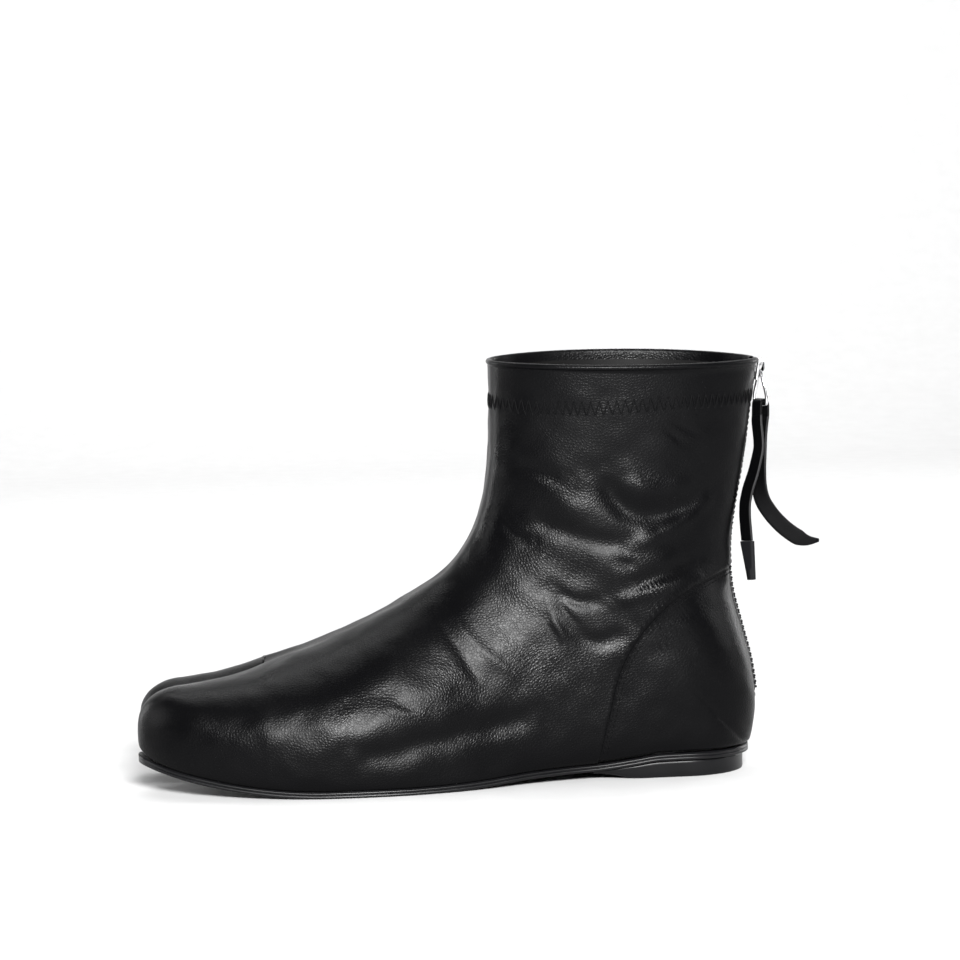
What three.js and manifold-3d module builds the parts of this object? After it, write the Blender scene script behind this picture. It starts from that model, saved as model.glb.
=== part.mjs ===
// A left split-toe ankle boot of soft black leather, in millimetres, +Z up.
// The toes point to -X, the little-toe side to -Y, and the floor is z = 0.
// The origin lies under the middle of the heel, on the floor.

import * as THREE from 'three';
import { mergeVertices } from 'three/addons/utils/BufferGeometryUtils.js';
import Module from 'manifold-3d';

const wasm = await Module();
wasm.setup();

// Lengths along the boot
const LENGTH = 259.5; // rearmost point to the tips of the toes
const SHAFT_DEPTH = 111; // rearmost point to the front of the shaft
const SPLIT_LENGTH = 53.5; // tips of the toes to the end of the split
const HEEL_LENGTH = 52; // back of the boot to the front of the heel's flat

// Heights above the floor
const BOOT_HEIGHT = 172.5; // collar at the front seam
const COLLAR_DROP = 2; // how much lower the collar is at the back
const INSTEP_HEIGHT = 91; // bend between vamp and shaft
const HEEL_HEIGHT = 10; // top of the sole at the heel
const TOE_SPRING = 13.5; // underside of the sole at the tips
const TIP_HEIGHT = 27; // foremost point of the toes
const ZIP_FOOT = 32; // lower end of the zip

// Widths
const BALL_WIDTH = 92;
const SHAFT_WIDTH = 61;
const HEEL_WIDTH = 53;
const SPLIT_OFFSET = 5; // split to the boot's middle plane, towards the big toe
const SPLIT_GAP = 3; // between the two toes
const SPLIT_ROUND = 13; // depth of the rounded edges of the split at the tips

// Thicknesses and clearances
const WALL = 1.8; // leather and lining
const COUNTER_STEP = 0.8; // how far the heel panel stands proud
const SOLE_THICKNESS = 2.8;
const SOLE_EDGE = 0.7; // how far the sole stands out past the upper's foot
const TOE_TUCK = 2; // how far the upper's foot tucks in under the tips
const TOE_LIP = 1.3; // how much further the sole stands out at the tips
const RIB_HEIGHT = 0.9; // rib along the top of the sole's edge
const GROOVE_DEPTH = 0.6; // grooves above and below the rib
const INSOLE_THICKNESS = 2;
const CLEARANCE = 0.3; // between pieces that meet
const END_HALF = 1.5; // half width at which a rounded end is closed

// Collar
const RIM_DIP = 1.5; // how far the rim sags on the little-toe side
const RIM_RISE = 2.5; // how far it rises on the big-toe side
const RIM_BEAD = 0.5; // how far the turned edge stands proud
const RIM_BEAD_HEIGHT = 2.4;

// Zip at the back
const SLOT_WIDTH = 8;
const TEETH_WIDTH = 4.6;
const TEETH_PROUD = 1;
const TOOTH_PITCH = 3;
const TAPE_THICKNESS = 1.2;
const TAPE_RECESS = 0.5;
const SLIDER_HEIGHT = 9;
const SLIDER_WIDTH = 7.4;
const SLIDER_THICKNESS = 0.9;
const SLIDER_DROP = 0.6; // from the collar's back to the top of the slider
const BRIDGE_WIDTH = 2; // bridge that holds the loop
const BRIDGE_REACH = 2.7; // how far the bridge stands out from the slider
const BRIDGE_WALL = 0.7;

// Loop on the slider and the leather tie through it
const LOOP_HEIGHT = 13.5;
const LOOP_WIDTH = 9;
const LOOP_WIRE = 1.5;
const LOOP_TURN = THREE.MathUtils.degToRad(25);
const TIE_WIDTH = 6.8;
const TIE_THICKNESS = 1.3;
const SLEEVE_LENGTH = 16;
const SLEEVE_WALL = 0.5;

// Columns of each half section, and rows between two rows of the table
const CREST_STEPS = 3;
const UPPER_STEPS = 7;
const LOWER_STEPS = 4;
const FLAT_STEPS = 2;
const WALL_STEPS = 4;
const TOE_ROWS = 10;
const BODY_ROWS = 28;
const PLATE_ROWS = 12;
const ZIP_ROWS = 14;
const SLIDER_ROWS = 4;
const WIRE_ROWS = 28;
const SPLIT_BLEND = 12; // the split's walls part over this share of a toe, as 1 / share

const SEAT_TOP = HEEL_HEIGHT;
const HEEL_MIDDLE = HEEL_LENGTH / 2 + 6;
const SPLIT_END = LENGTH - SPLIT_LENGTH;

// Place along the boot: 0 at the back, 1 at the front of the shaft, 2 at the tips
function along(station) {
  const foot = LENGTH - SHAFT_DEPTH;
  return station < 1 ? station * SHAFT_DEPTH : SHAFT_DEPTH + (station - 1) * foot;
}

// Height at the front: 0 at the floor, 1 at the instep bend, 2 at the collar
function frontHeight(level) {
  const shaft = BOOT_HEIGHT - INSTEP_HEIGHT;
  return level < 1 ? level * INSTEP_HEIGHT : INSTEP_HEIGHT + (level - 1) * shaft;
}

// Height at the back: 0 at the heel seat, 1 at the collar
function backHeight(level) {
  return SEAT_TOP + level * (BOOT_HEIGHT - COLLAR_DROP - SEAT_TOP);
}

const toX = (s) => HEEL_MIDDLE - s;
const mix = (a, b, t) => a + (b - a) * t;
const clamp = (v, low, high) => Math.min(high, Math.max(low, v));

// A smooth curve through the rows (place, value) of a table
function smoothCurve(places, values) {
  const last = places.length - 1;
  const slopes = places.map((_, i) => {
    const a = Math.max(0, i - 1);
    const b = Math.min(last, i + 1);
    return (values[b] - values[a]) / (places[b] - places[a]);
  });
  return (p) => {
    let i = 0;
    while (i < last - 1 && p > places[i + 1]) i += 1;
    const span = places[i + 1] - places[i];
    const t = (p - places[i]) / span;
    const h = t * t * (3 - 2 * t);
    const rise = (t - 2 * t * t + t * t * t) * slopes[i] * span;
    const fall = (t * t * t - t * t) * slopes[i + 1] * span;
    return values[i] * (1 - h) + values[i + 1] * h + rise + fall;
  };
}

// Underside of the sole from the heel seat to the ball, as shares of the seat's height
const ARCH = [
  { station: 0.0, rise: 1.0 },
  { station: 0.41, rise: 1.0 },
  { station: 0.52, rise: 0.8 },
  { station: 0.64, rise: 0.6 },
  { station: 0.8, rise: 0.5 },
  { station: 0.93, rise: 0.38 },
  { station: 1.05, rise: 0.17 },
  { station: 1.16, rise: 0.05 },
  { station: 1.26, rise: 0.0 },
];
const BALL_FRONT = 1.49;
const archCurve = smoothCurve(
  ARCH.map((row) => along(row.station)),
  ARCH.map((row) => row.rise * (HEEL_HEIGHT - SOLE_THICKNESS)),
);

function soleBottom(s) {
  if (s < along(ARCH.at(-1).station)) return Math.max(0, archCurve(s));
  const run = (s - along(BALL_FRONT)) / (LENGTH - along(BALL_FRONT));
  return TOE_SPRING * clamp(run, 0, 2) ** 1.9;
}

const soleTop = (s) => soleBottom(s) + SOLE_THICKNESS;
const featherLine = (s) => soleTop(s) + CLEARANCE;

// Outline of the upper's foot as half widths: of the heel's width, then the ball's
const HEEL_OUTLINE = [
  { station: 0.0, lateral: 0.49, medial: 0.49 },
  { station: 0.3, lateral: 0.5, medial: 0.49 },
  { station: 0.5, lateral: 0.515, medial: 0.475 },
  { station: 0.7, lateral: 0.545, medial: 0.445 },
];
const FOREFOOT_OUTLINE = [
  { station: 0.87, lateral: 0.355, medial: 0.265 },
  { station: 1.0, lateral: 0.395, medial: 0.3 },
  { station: 1.14, lateral: 0.45, medial: 0.37 },
  { station: 1.28, lateral: 0.485, medial: 0.435 },
  { station: 1.42, lateral: 0.497, medial: 0.463 },
  { station: 1.54, lateral: 0.487, medial: 0.467 },
  { station: 1.65, lateral: 0.467, medial: 0.459 },
  { station: 1.76, lateral: 0.435, medial: 0.447 },
  { station: 1.88, lateral: 0.385, medial: 0.425 },
  { station: 2.0, lateral: 0.325, medial: 0.395 },
];
const outlinePlaces = [...HEEL_OUTLINE, ...FOREFOOT_OUTLINE].map((row) => along(row.station));
const outline = Object.fromEntries(['lateral', 'medial'].map((side) => [
  side,
  smoothCurve(outlinePlaces, [
    ...HEEL_OUTLINE.map((row) => row[side] * HEEL_WIDTH),
    ...FOREFOOT_OUTLINE.map((row) => row[side] * BALL_WIDTH),
  ]),
]));

// A side view and a plan both close their round ends with the same kind of curve
const roundEnd = (run, power) => (1 - clamp(run, 0, 1) ** power) ** (1 / power);

const HEEL_BACK = 6.8; // back of the feather line
const HEEL_ROUND = 27;

function featherHalf(s, side, inset = 0) {
  const run = 1 - (s - HEEL_BACK - inset) / (HEEL_ROUND - inset);
  return Math.max(0, outline[side](s) - inset) * roundEnd(run, 2);
}

// Sections of the body from the split to the collar. The foot's sections stand
// upright, then they fan round the heel and end level with the collar.
// top, level: the front point; foot: the lower point; widths are half widths at
// the widest place, as shares of the ball's or the shaft's width.
const FOOT_SECTIONS = [
  { top: 1.645, level: 0.555, foot: 1.645, lateral: 0.492, medial: 0.48,
    widest: 0.28, full: 2.3, seam: 1, crest: 9, valley: 1.4 },
  { top: 1.571, level: 0.592, foot: 1.571, lateral: 0.505, medial: 0.487,
    widest: 0.26, full: 2.15, seam: 0.96, crest: 8, valley: 0.6 },
  { top: 1.485, level: 0.64, foot: 1.485, lateral: 0.514, medial: 0.488,
    widest: 0.25, full: 2.05, seam: 0.84, crest: 7, valley: 0.1 },
  { top: 1.392, level: 0.704, foot: 1.392, lateral: 0.514, medial: 0.474,
    widest: 0.23, full: 1.98, seam: 0.68, crest: 6, valley: 0 },
  { top: 1.299, level: 0.777, foot: 1.275, lateral: 0.496, medial: 0.432,
    widest: 0.215, full: 1.95, seam: 0.5, crest: 5.5, valley: 0 },
  { top: 1.213, level: 0.859, foot: 1.14, lateral: 0.457, medial: 0.378,
    widest: 0.21, full: 1.95, seam: 0.3, crest: 5, valley: 0 },
  { top: 1.143, level: 0.934, foot: 1.0, lateral: 0.412, medial: 0.343,
    widest: 0.22, full: 1.98, seam: 0.14, crest: 5, valley: 0 },
];
const TURN_SECTIONS = [
  { top: 1.103, level: 1.0, foot: 0.82, lateral: 0.58, medial: 0.5,
    widest: 0.25, full: 2.05, seam: 0, crest: 4.5, valley: 0 },
  { top: 1.073, level: 1.08, foot: 0.63, lateral: 0.549, medial: 0.5,
    widest: 0.28, full: 2.12, seam: 0, crest: 4.5, valley: 0 },
  { top: 1.05, level: 1.16, foot: 0.45, lateral: 0.528, medial: 0.5,
    widest: 0.32, full: 2.2, seam: 0, crest: 4, valley: 0 },
  { top: 1.035, level: 1.233, foot: 0.288, lateral: 0.516, medial: 0.497,
    widest: 0.35, full: 2.25, seam: 0, crest: 4, valley: 0 },
  { top: 1.023, level: 1.307, foot: 0.15, lateral: 0.511, medial: 0.492,
    widest: 0.36, full: 2.3, seam: 0, crest: 4, valley: 0 },
  { top: 1.017, level: 1.368, foot: 0.07, lateral: 0.508, medial: 0.492,
    widest: 0.37, full: 2.3, seam: 0, crest: 4, valley: 0 },
];
const BACK_SECTIONS = [
  { top: 1.012, level: 1.43, foot: 0.042, rise: 0.022, lateral: 0.505, medial: 0.489,
    widest: 0.38, full: 2.3, round: 2.25 },
  { top: 1.008, level: 1.497, foot: 0.024, rise: 0.112, lateral: 0.502, medial: 0.487,
    widest: 0.4, full: 2.3, round: 2.2 },
  { top: 1.005, level: 1.564, foot: 0.039, rise: 0.212, lateral: 0.495, medial: 0.484,
    widest: 0.42, full: 2.3, round: 2.1 },
  { top: 1.003, level: 1.632, foot: 0.072, rise: 0.305, lateral: 0.485, medial: 0.475,
    widest: 0.44, full: 2.3, round: 2.0 },
  { top: 1.002, level: 1.7, foot: 0.108, rise: 0.411, lateral: 0.475, medial: 0.469,
    widest: 0.46, full: 2.25, round: 1.95 },
  { top: 1.001, level: 1.761, foot: 0.114, rise: 0.517, lateral: 0.472, medial: 0.469,
    widest: 0.48, full: 2.2, round: 2.0 },
  { top: 1.0, level: 1.822, foot: 0.094, rise: 0.623, lateral: 0.475, medial: 0.472,
    widest: 0.5, full: 2.2, round: 2.05 },
  { top: 1.0, level: 1.883, foot: 0.062, rise: 0.741, lateral: 0.485, medial: 0.482,
    widest: 0.5, full: 2.2, round: 2.1 },
  { top: 1.0, level: 1.945, foot: 0.034, rise: 0.872, lateral: 0.498, medial: 0.495,
    widest: 0.5, full: 2.2, round: 2.1 },
  { top: 1.0, level: 2.0, foot: 0.006, rise: 1.0, lateral: 0.508, medial: 0.508,
    widest: 0.5, full: 2.2, round: 2.1 },
];

function footSection(row, width) {
  const s = along(row.foot);
  return {
    topS: along(row.top), topZ: frontHeight(row.level), footS: s, footZ: featherLine(s),
    lateral: row.lateral * width, medial: row.medial * width,
    flatLateral: featherHalf(s, 'lateral'), flatMedial: featherHalf(s, 'medial'),
    widest: row.widest, full: row.full, round: 2.25,
    seam: row.seam * SPLIT_OFFSET, crest: row.crest, valley: row.valley, under: 1,
  };
}

function backSection(row) {
  return {
    topS: along(row.top), topZ: frontHeight(row.level),
    footS: along(row.foot), footZ: backHeight(row.rise),
    lateral: row.lateral * SHAFT_WIDTH, medial: row.medial * SHAFT_WIDTH,
    flatLateral: SLOT_WIDTH / 2, flatMedial: SLOT_WIDTH / 2,
    widest: row.widest, full: row.full, round: row.round,
    seam: 0, crest: 4, valley: 0, under: 0,
  };
}

const sections = [
  ...FOOT_SECTIONS.map((row) => footSection(row, BALL_WIDTH)),
  ...TURN_SECTIONS.map((row) => footSection(row, SHAFT_WIDTH)),
  ...BACK_SECTIONS.map(backSection),
];
const RIM = sections.length - 1;
const FOOT_END = FOOT_SECTIONS.length + TURN_SECTIONS.length - 1;
const sectionCurves = Object.fromEntries(Object.keys(sections[0]).map((name) => [
  name,
  smoothCurve(sections.map((_, i) => i), sections.map((row) => row[name])),
]));

// The section at any place between two rows of the tables, grown or shrunk
function sectionAt(k, grow) {
  const at = Object.fromEntries(Object.entries(sectionCurves).map(([name, f]) => [name, f(k)]));
  if (k <= FOOT_END) {
    at.footZ = featherLine(at.footS);
    at.flatLateral = featherHalf(at.footS, 'lateral');
    at.flatMedial = featherHalf(at.footS, 'medial');
  }
  const dx = at.footS - at.topS;
  const dz = at.topZ - at.footZ;
  const length = Math.hypot(dx, dz);
  const out = { x: -dx / length, z: dz / length };
  const under = clamp(at.under, 0, 1);
  const shift = grow * Math.max(0, 1 - k);
  at.topS += grow * out.x + shift;
  at.topZ += grow * out.z;
  at.footS -= grow * out.x * (1 - under) - shift;
  at.footZ -= grow * out.z * (1 - under) + grow * under * 0.2;
  at.lateral += grow;
  at.medial += grow;
  at.flatLateral = Math.max(END_HALF, at.flatLateral + grow);
  at.flatMedial = Math.max(END_HALF, at.flatMedial + grow);
  return at;
}

// Half a section, from the seam over the side to the middle of the bottom
function halfSection(at, side) {
  const sign = side === 'lateral' ? -1 : 1;
  const wide = at[side];
  const flat = at[side === 'lateral' ? 'flatLateral' : 'flatMedial'];
  const height = Math.hypot(at.topS - at.footS, at.topZ - at.footZ);
  const crest = at.seam + sign * at.crest;
  const points = [];
  const put = (y, t) => points.push({ y, t });
  for (let i = 0; i <= CREST_STEPS; i += 1) {
    const run = i / CREST_STEPS;
    put(mix(at.seam, crest, run), 1 - (at.valley / height) * Math.cos(run * Math.PI / 2));
  }
  for (let i = 1; i <= UPPER_STEPS; i += 1) {
    const a = (i / UPPER_STEPS) * Math.PI / 2;
    const y = mix(crest, sign * wide, Math.sin(a) ** (2 / at.full));
    put(y, mix(at.widest, 1, Math.max(0, Math.cos(a)) ** (2 / at.full)));
  }
  for (let i = 1; i <= LOWER_STEPS; i += 1) {
    const a = (i / LOWER_STEPS) * Math.PI / 2;
    const y = sign * mix(flat, wide, Math.max(0, Math.cos(a)) ** (2 / at.round));
    put(y, at.widest * (1 - Math.sin(a) ** (2 / at.round)));
  }
  for (let i = 1; i <= FLAT_STEPS; i += 1) {
    put(mix(sign * flat, at.seam, i / FLAT_STEPS), 0);
  }
  return points.map(({ y, t }) => new THREE.Vector3(
    toX(mix(at.footS, at.topS, t)),
    y,
    mix(at.footZ, at.topZ, t) + rimWave(at, y),
  ));
}

// The soft collar sags on the outer side and rises on the inner side
function rimWave(at, y) {
  const reach = clamp((at.topZ - 0.83 * BOOT_HEIGHT) / (0.17 * BOOT_HEIGHT), 0, 1.2);
  const side = (2 * y / SHAFT_WIDTH) ** 2;
  return reach * reach * side * (y < 0 ? -RIM_DIP : RIM_RISE);
}

// The two toes: crest heights as shares of the instep's height, and where they end
const LATERAL_TOE = {
  sign: -1, side: 'lateral', tip: 0.17,
  crestPlaces: [0, 0.2, 0.45, 1], crestLevels: [0.555, 0.517, 0.493, 0.464],
};
const MEDIAL_TOE = {
  sign: 1, side: 'medial', tip: 0.24,
  crestPlaces: [0, 0.2, 0.45, 1], crestLevels: [0.555, 0.515, 0.477, 0.442],
};
const PLAN_ROUND = 25; // length of the rounded end of a toe, in plan
const NOSE_ROUND = 17; // and from the side

function toeSection(toe, s, grow) {
  const start = SPLIT_END + grow;
  const end = LENGTH + grow;
  const run = clamp((s - start) / (end - start), 0, 1);
  const plan = roundEnd((s - (end - PLAN_ROUND)) / PLAN_ROUND, 2.3);
  const nose = roundEnd((s - (end - NOSE_ROUND)) / NOSE_ROUND, 2.2);
  const tipY = toe.sign * toe.tip * BALL_WIDTH;
  const bulge = mix(sections[0][toe.side] - featherHalf(SPLIT_END, toe.side), 1.2, run);
  const open = smoothCurve([0, 0.12, 0.4, 1], [0, 0.62, 0.9, 1])(run);
  const wallY = SPLIT_OFFSET + toe.sign * (SPLIT_GAP / 2 * open - grow * Math.min(1, run * SPLIT_BLEND));
  const level = smoothCurve(toe.crestPlaces, toe.crestLevels)(run);
  const round = (y) => mix(tipY, y, plan);
  const flatY = toe.sign * (featherHalf(s, toe.side) + grow);
  const crestZ = frontHeight(level) + grow;
  const footZ = featherLine(s) - grow * 0.2;
  return {
    s,
    sign: toe.sign,
    wallY: round(wallY),
    wideY: round(flatY + toe.sign * bulge),
    flatY: round(flatY),
    crestY: round(mix(SPLIT_OFFSET + toe.sign * sections[0].crest, tipY, Math.min(1, run * 1.6))),
    crestZ: mix(TIP_HEIGHT, crestZ, nose),
    footZ: mix(TIP_HEIGHT, footZ, nose ** 0.35),
    shoulder: mix(sections[0].valley, SPLIT_ROUND, Math.sqrt(run)) * nose,
    widest: 0.3,
    full: 2.3,
  };
}

// Outer side of a toe's section, from the split's edge over the crest to the split's foot
function toeOuter(at) {
  const points = [];
  const put = (y, z) => points.push(new THREE.Vector3(toX(at.s), y, z));
  const wideZ = mix(at.footZ, at.crestZ, at.widest);
  for (let i = 0; i <= CREST_STEPS; i += 1) {
    const a = (i / CREST_STEPS) * Math.PI / 2;
    put(mix(at.crestY, at.wallY, Math.cos(a)), at.crestZ - at.shoulder * (1 - Math.sin(a)));
  }
  for (let i = 1; i <= UPPER_STEPS; i += 1) {
    const a = (i / UPPER_STEPS) * Math.PI / 2;
    const up = Math.max(0, Math.cos(a)) ** (2 / at.full);
    put(mix(at.crestY, at.wideY, Math.sin(a) ** (2 / at.full)), mix(wideZ, at.crestZ, up));
  }
  for (let i = 1; i <= LOWER_STEPS; i += 1) {
    const a = (i / LOWER_STEPS) * Math.PI / 2;
    const out = Math.max(0, Math.cos(a)) ** (2 / 2.25);
    put(mix(at.flatY, at.wideY, out), mix(at.footZ, wideZ, 1 - Math.sin(a) ** (2 / 2.25)));
  }
  for (let i = 1; i <= FLAT_STEPS; i += 1) {
    put(mix(at.flatY, at.wallY, i / FLAT_STEPS), at.footZ);
  }
  return points;
}

// A straight run of points from a to b, both included
function line(a, b, steps) {
  return Array.from({ length: steps + 1 }, (_, i) => a.clone().lerp(b, i / steps));
}

// A closed ring from two runs that share both ends
const ring = (a, b) => [...a, ...b.slice(1, -1).reverse()];

// Triangles between rings of equal counts, closed at the ends by fans to a point
function skin(rings, startPoint, endPoint) {
  const triangles = [];
  for (let k = 0; k + 1 < rings.length; k += 1) {
    const a = rings[k];
    const b = rings[k + 1];
    a.forEach((_, i) => {
      const j = (i + 1) % a.length;
      triangles.push([a[i], b[i], b[j]], [a[i], b[j], a[j]]);
    });
  }
  if (startPoint) {
    const r = rings[0];
    r.forEach((_, i) => triangles.push([startPoint, r[i], r[(i + 1) % r.length]]));
  }
  if (endPoint) {
    const r = rings.at(-1);
    r.forEach((_, i) => triangles.push([endPoint, r[(i + 1) % r.length], r[i]]));
  }
  return triangles;
}

function middle(points) {
  const sum = new THREE.Vector3();
  points.forEach((p) => sum.add(p));
  return sum.divideScalar(points.length);
}

// Closed solid from triangles of points, turned so that it faces out
function solid(triangles) {
  const array = new Float32Array(triangles.length * 9);
  triangles.flat().forEach((p, i) => p.toArray(array, i * 3));
  let geometry = new THREE.BufferGeometry();
  geometry.setAttribute('position', new THREE.BufferAttribute(array, 3));
  geometry = mergeVertices(geometry, 1e-4);
  const index = Array.from(geometry.index.array);
  const kept = [];
  for (let i = 0; i < index.length; i += 3) {
    const [a, b, c] = index.slice(i, i + 3);
    if (a !== b && b !== c && c !== a) kept.push(a, b, c);
  }
  const p = geometry.attributes.position;
  const [u, v, w] = [new THREE.Vector3(), new THREE.Vector3(), new THREE.Vector3()];
  let volume = 0;
  for (let i = 0; i < kept.length; i += 3) {
    u.fromBufferAttribute(p, kept[i]);
    v.fromBufferAttribute(p, kept[i + 1]);
    w.fromBufferAttribute(p, kept[i + 2]);
    volume += u.dot(v.cross(w));
  }
  geometry.setIndex(volume < 0 ? kept.reverse() : kept);
  return geometry;
}

function toManifold(geometry) {
  return new wasm.Manifold(new wasm.Mesh({
    numProp: 3,
    vertProperties: new Float32Array(geometry.attributes.position.array),
    triVerts: new Uint32Array(geometry.index.array),
  }));
}

function toGeometry(manifold) {
  const mesh = manifold.getMesh();
  const geometry = new THREE.BufferGeometry();
  geometry.setAttribute('position', new THREE.BufferAttribute(mesh.vertProperties, 3));
  geometry.setIndex(new THREE.BufferAttribute(mesh.triVerts, 1));
  return geometry;
}

// Closed form with a split toe: the body's rings start at the split
function splitForm(body, toes, endPoint) {
  const first = body[0];
  const split = line(first.lateral[0], first.lateral.at(-1), WALL_STEPS);
  const triangles = skin(body.map((b) => ring(b.lateral, b.medial)), null, endPoint);
  toes.forEach(({ rows, nose, lateral }) => {
    const start = lateral ? ring(first.lateral, split) : ring(split, first.medial);
    const rings = rows.map(({ outer, wall }) => (lateral ? ring(outer, wall) : ring(wall, outer)));
    triangles.push(...skin([start, ...rings], null, nose).map(([a, b, c]) => [a, c, b]));
  });
  return solid(triangles);
}

// Stations along a toe, closer together towards its round end
function toeStations(start, end, rows) {
  return Array.from({ length: rows }, (_, i) => {
    const a = ((i + 1) / (rows + 0.5)) * Math.PI / 2;
    return mix(start, end, Math.sin(a) ** 0.9);
  });
}

// The upper's outer form, grown or shrunk; top adds rows above the collar
function upperForm(grow, top) {
  const places = Array.from({ length: BODY_ROWS + 1 }, (_, i) => (i / BODY_ROWS) * RIM);
  const body = places.map((k) => {
    const at = sectionAt(k, grow);
    return { lateral: halfSection(at, 'lateral'), medial: halfSection(at, 'medial') };
  });
  if (top > 0) {
    const last = body.at(-1);
    const raise = (p) => p.clone().setZ(p.z + top);
    body.push({ lateral: last.lateral.map(raise), medial: last.medial.map(raise) });
  }
  const rim = body.at(-1);
  const toes = [LATERAL_TOE, MEDIAL_TOE].map((toe) => {
    const rows = toeStations(SPLIT_END + grow, LENGTH + grow, TOE_ROWS).map((s) => {
      const at = toeSection(toe, s, grow);
      const outer = toeOuter(at);
      return { outer, wall: line(outer[0], outer.at(-1), WALL_STEPS) };
    });
    const nose = new THREE.Vector3(toX(LENGTH + grow), toe.sign * toe.tip * BALL_WIDTH, TIP_HEIGHT);
    return { rows, nose, lateral: toe.sign < 0 };
  });
  return splitForm(body, toes, middle([...rim.lateral, ...rim.medial]));
}

// A plate with the plan of the foot, its edge stepped by a profile of
// (out, level) from the top, level 0, to the bottom, level 1
function plateHalf(s, side, edge, top, bottom, profile) {
  const sign = side === 'lateral' ? -1 : 1;
  const half = Math.max(END_HALF, featherHalf(s, side, -edge));
  const point = (y, level) => new THREE.Vector3(toX(s), y, mix(top(s), bottom(s), level));
  return [
    point(SPLIT_OFFSET * clamp((s - SHAFT_DEPTH) / (SPLIT_END - SHAFT_DEPTH), 0, 1), 0),
    ...profile.map(({ out, level }) => point(sign * (half + out), level)),
    point(SPLIT_OFFSET * clamp((s - SHAFT_DEPTH) / (SPLIT_END - SHAFT_DEPTH), 0, 1), 1),
  ];
}

function plateToe(toe, s, end, edge, top, bottom, profile) {
  const plan = roundEnd((s - (end - PLAN_ROUND)) / PLAN_ROUND, 2.3);
  const tipY = toe.sign * toe.tip * BALL_WIDTH;
  const run = clamp((s - SPLIT_END) / (end - SPLIT_END), 0, 1);
  const open = smoothCurve([0, 0.12, 0.4, 1], [0, 0.62, 0.9, 1])(run);
  const gap = SPLIT_GAP / 2 * open - Math.min(0, edge) * Math.min(1, run * SPLIT_BLEND);
  const wallY = mix(tipY, SPLIT_OFFSET + toe.sign * gap, plan);
  const sideY = mix(tipY, toe.sign * (featherHalf(s, toe.side) + edge), plan);
  const point = (y, level) => new THREE.Vector3(toX(s), y, mix(top(s), bottom(s), level));
  const outer = [
    point(wallY, 0),
    ...profile.map(({ out, level }) => point(sideY + toe.sign * out * plan, level)),
    point(wallY, 1),
  ];
  return { outer, wall: line(outer[0], outer.at(-1), WALL_STEPS) };
}

function plateStations(start, end) {
  const heel = HEEL_ROUND;
  const round = [0.04, 0.14, 0.29, 0.5, 0.75, 1].map((a) => start + heel * a ** 1.4);
  const rest = Array.from({ length: PLATE_ROWS }, (_, i) => (i + 1) / PLATE_ROWS);
  const straight = rest.map((share) => mix(start + heel, end, share));
  return [start + 0.02, ...round, ...straight].reverse();
}

function plateBody(edge, top, bottom, profile, end) {
  return plateStations(HEEL_BACK - edge, end).map((s) => ({
    lateral: plateHalf(s, 'lateral', edge, top, bottom, profile),
    medial: plateHalf(s, 'medial', edge, top, bottom, profile),
  }));
}

// A plate under the whole foot; lip adds to its edge at the tips alone
const PLAIN_EDGE = [{ out: 0, level: 0 }, { out: 0, level: 1 }];

function splitPlate(edge, lip, top, bottom, profile) {
  const start = SPLIT_END + Math.min(0, edge);
  const body = plateBody(edge, top, bottom, profile, start);
  const toes = [LATERAL_TOE, MEDIAL_TOE].map((toe) => {
    const end = LENGTH - TOE_TUCK + edge + lip;
    const rows = toeStations(start, end, TOE_ROWS)
      .map((s) => plateToe(toe, s, end, edge, top, bottom, profile));
    return { rows, nose: middle(rows.at(-1).outer).setX(toX(end)), lateral: toe.sign < 0 };
  });
  return splitForm(body, toes, middle([...body.at(-1).lateral, ...body.at(-1).medial]));
}

// A flat form in the side view, carried across the boot's middle
function prism(outlinePoints, width) {
  const shape = new THREE.Shape(outlinePoints.map(({ s, z }) => new THREE.Vector2(toX(s), z)));
  const geometry = new THREE.ExtrudeGeometry(shape, { depth: width, bevelEnabled: false });
  geometry.rotateX(Math.PI / 2);
  geometry.translate(0, width / 2, 0);
  geometry.deleteAttribute('normal');
  geometry.deleteAttribute('uv');
  return mergeVertices(geometry, 1e-4);
}

// Back of the upper in the side view
const backRows = sections.filter((row) => row.under === 0);
const backCurve = smoothCurve(backRows.map((row) => row.footZ), backRows.map((row) => row.footS));
const COLLAR_BACK = BOOT_HEIGHT - COLLAR_DROP;

function backLine(low, high, rows, out) {
  return Array.from({ length: rows + 1 }, (_, i) => {
    const z = mix(low, high, i / rows);
    return { s: backCurve(z) - out, z };
  });
}

function backStrip(low, high, rows, out, depth, width) {
  const outside = backLine(low, high, rows, out);
  const inside = backLine(low, high, rows, out - depth).reverse();
  return prism([...outside, ...inside], width);
}

// Front edge of the heel panel in the side view, from the sole up to the zip
const COUNTER = [
  { station: 0.67, level: 0.0 },
  { station: 0.65, level: 0.09 },
  { station: 0.622, level: 0.24 },
  { station: 0.6, level: 0.34 },
  { station: 0.582, level: 0.43 },
  { station: 0.555, level: 0.525 },
  { station: 0.51, level: 0.62 },
  { station: 0.45, level: 0.71 },
  { station: 0.385, level: 0.785 },
  { station: 0.3, level: 0.855 },
  { station: 0.2, level: 0.905 },
  { station: 0.09, level: 0.943 },
  { station: -0.1, level: 0.99 },
];
const counterRegion = prism([
  ...COUNTER.map((row) => ({ s: along(row.station), z: frontHeight(row.level) })),
  { s: along(-0.1), z: 0 },
], 2 * SHAFT_WIDTH);

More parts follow.
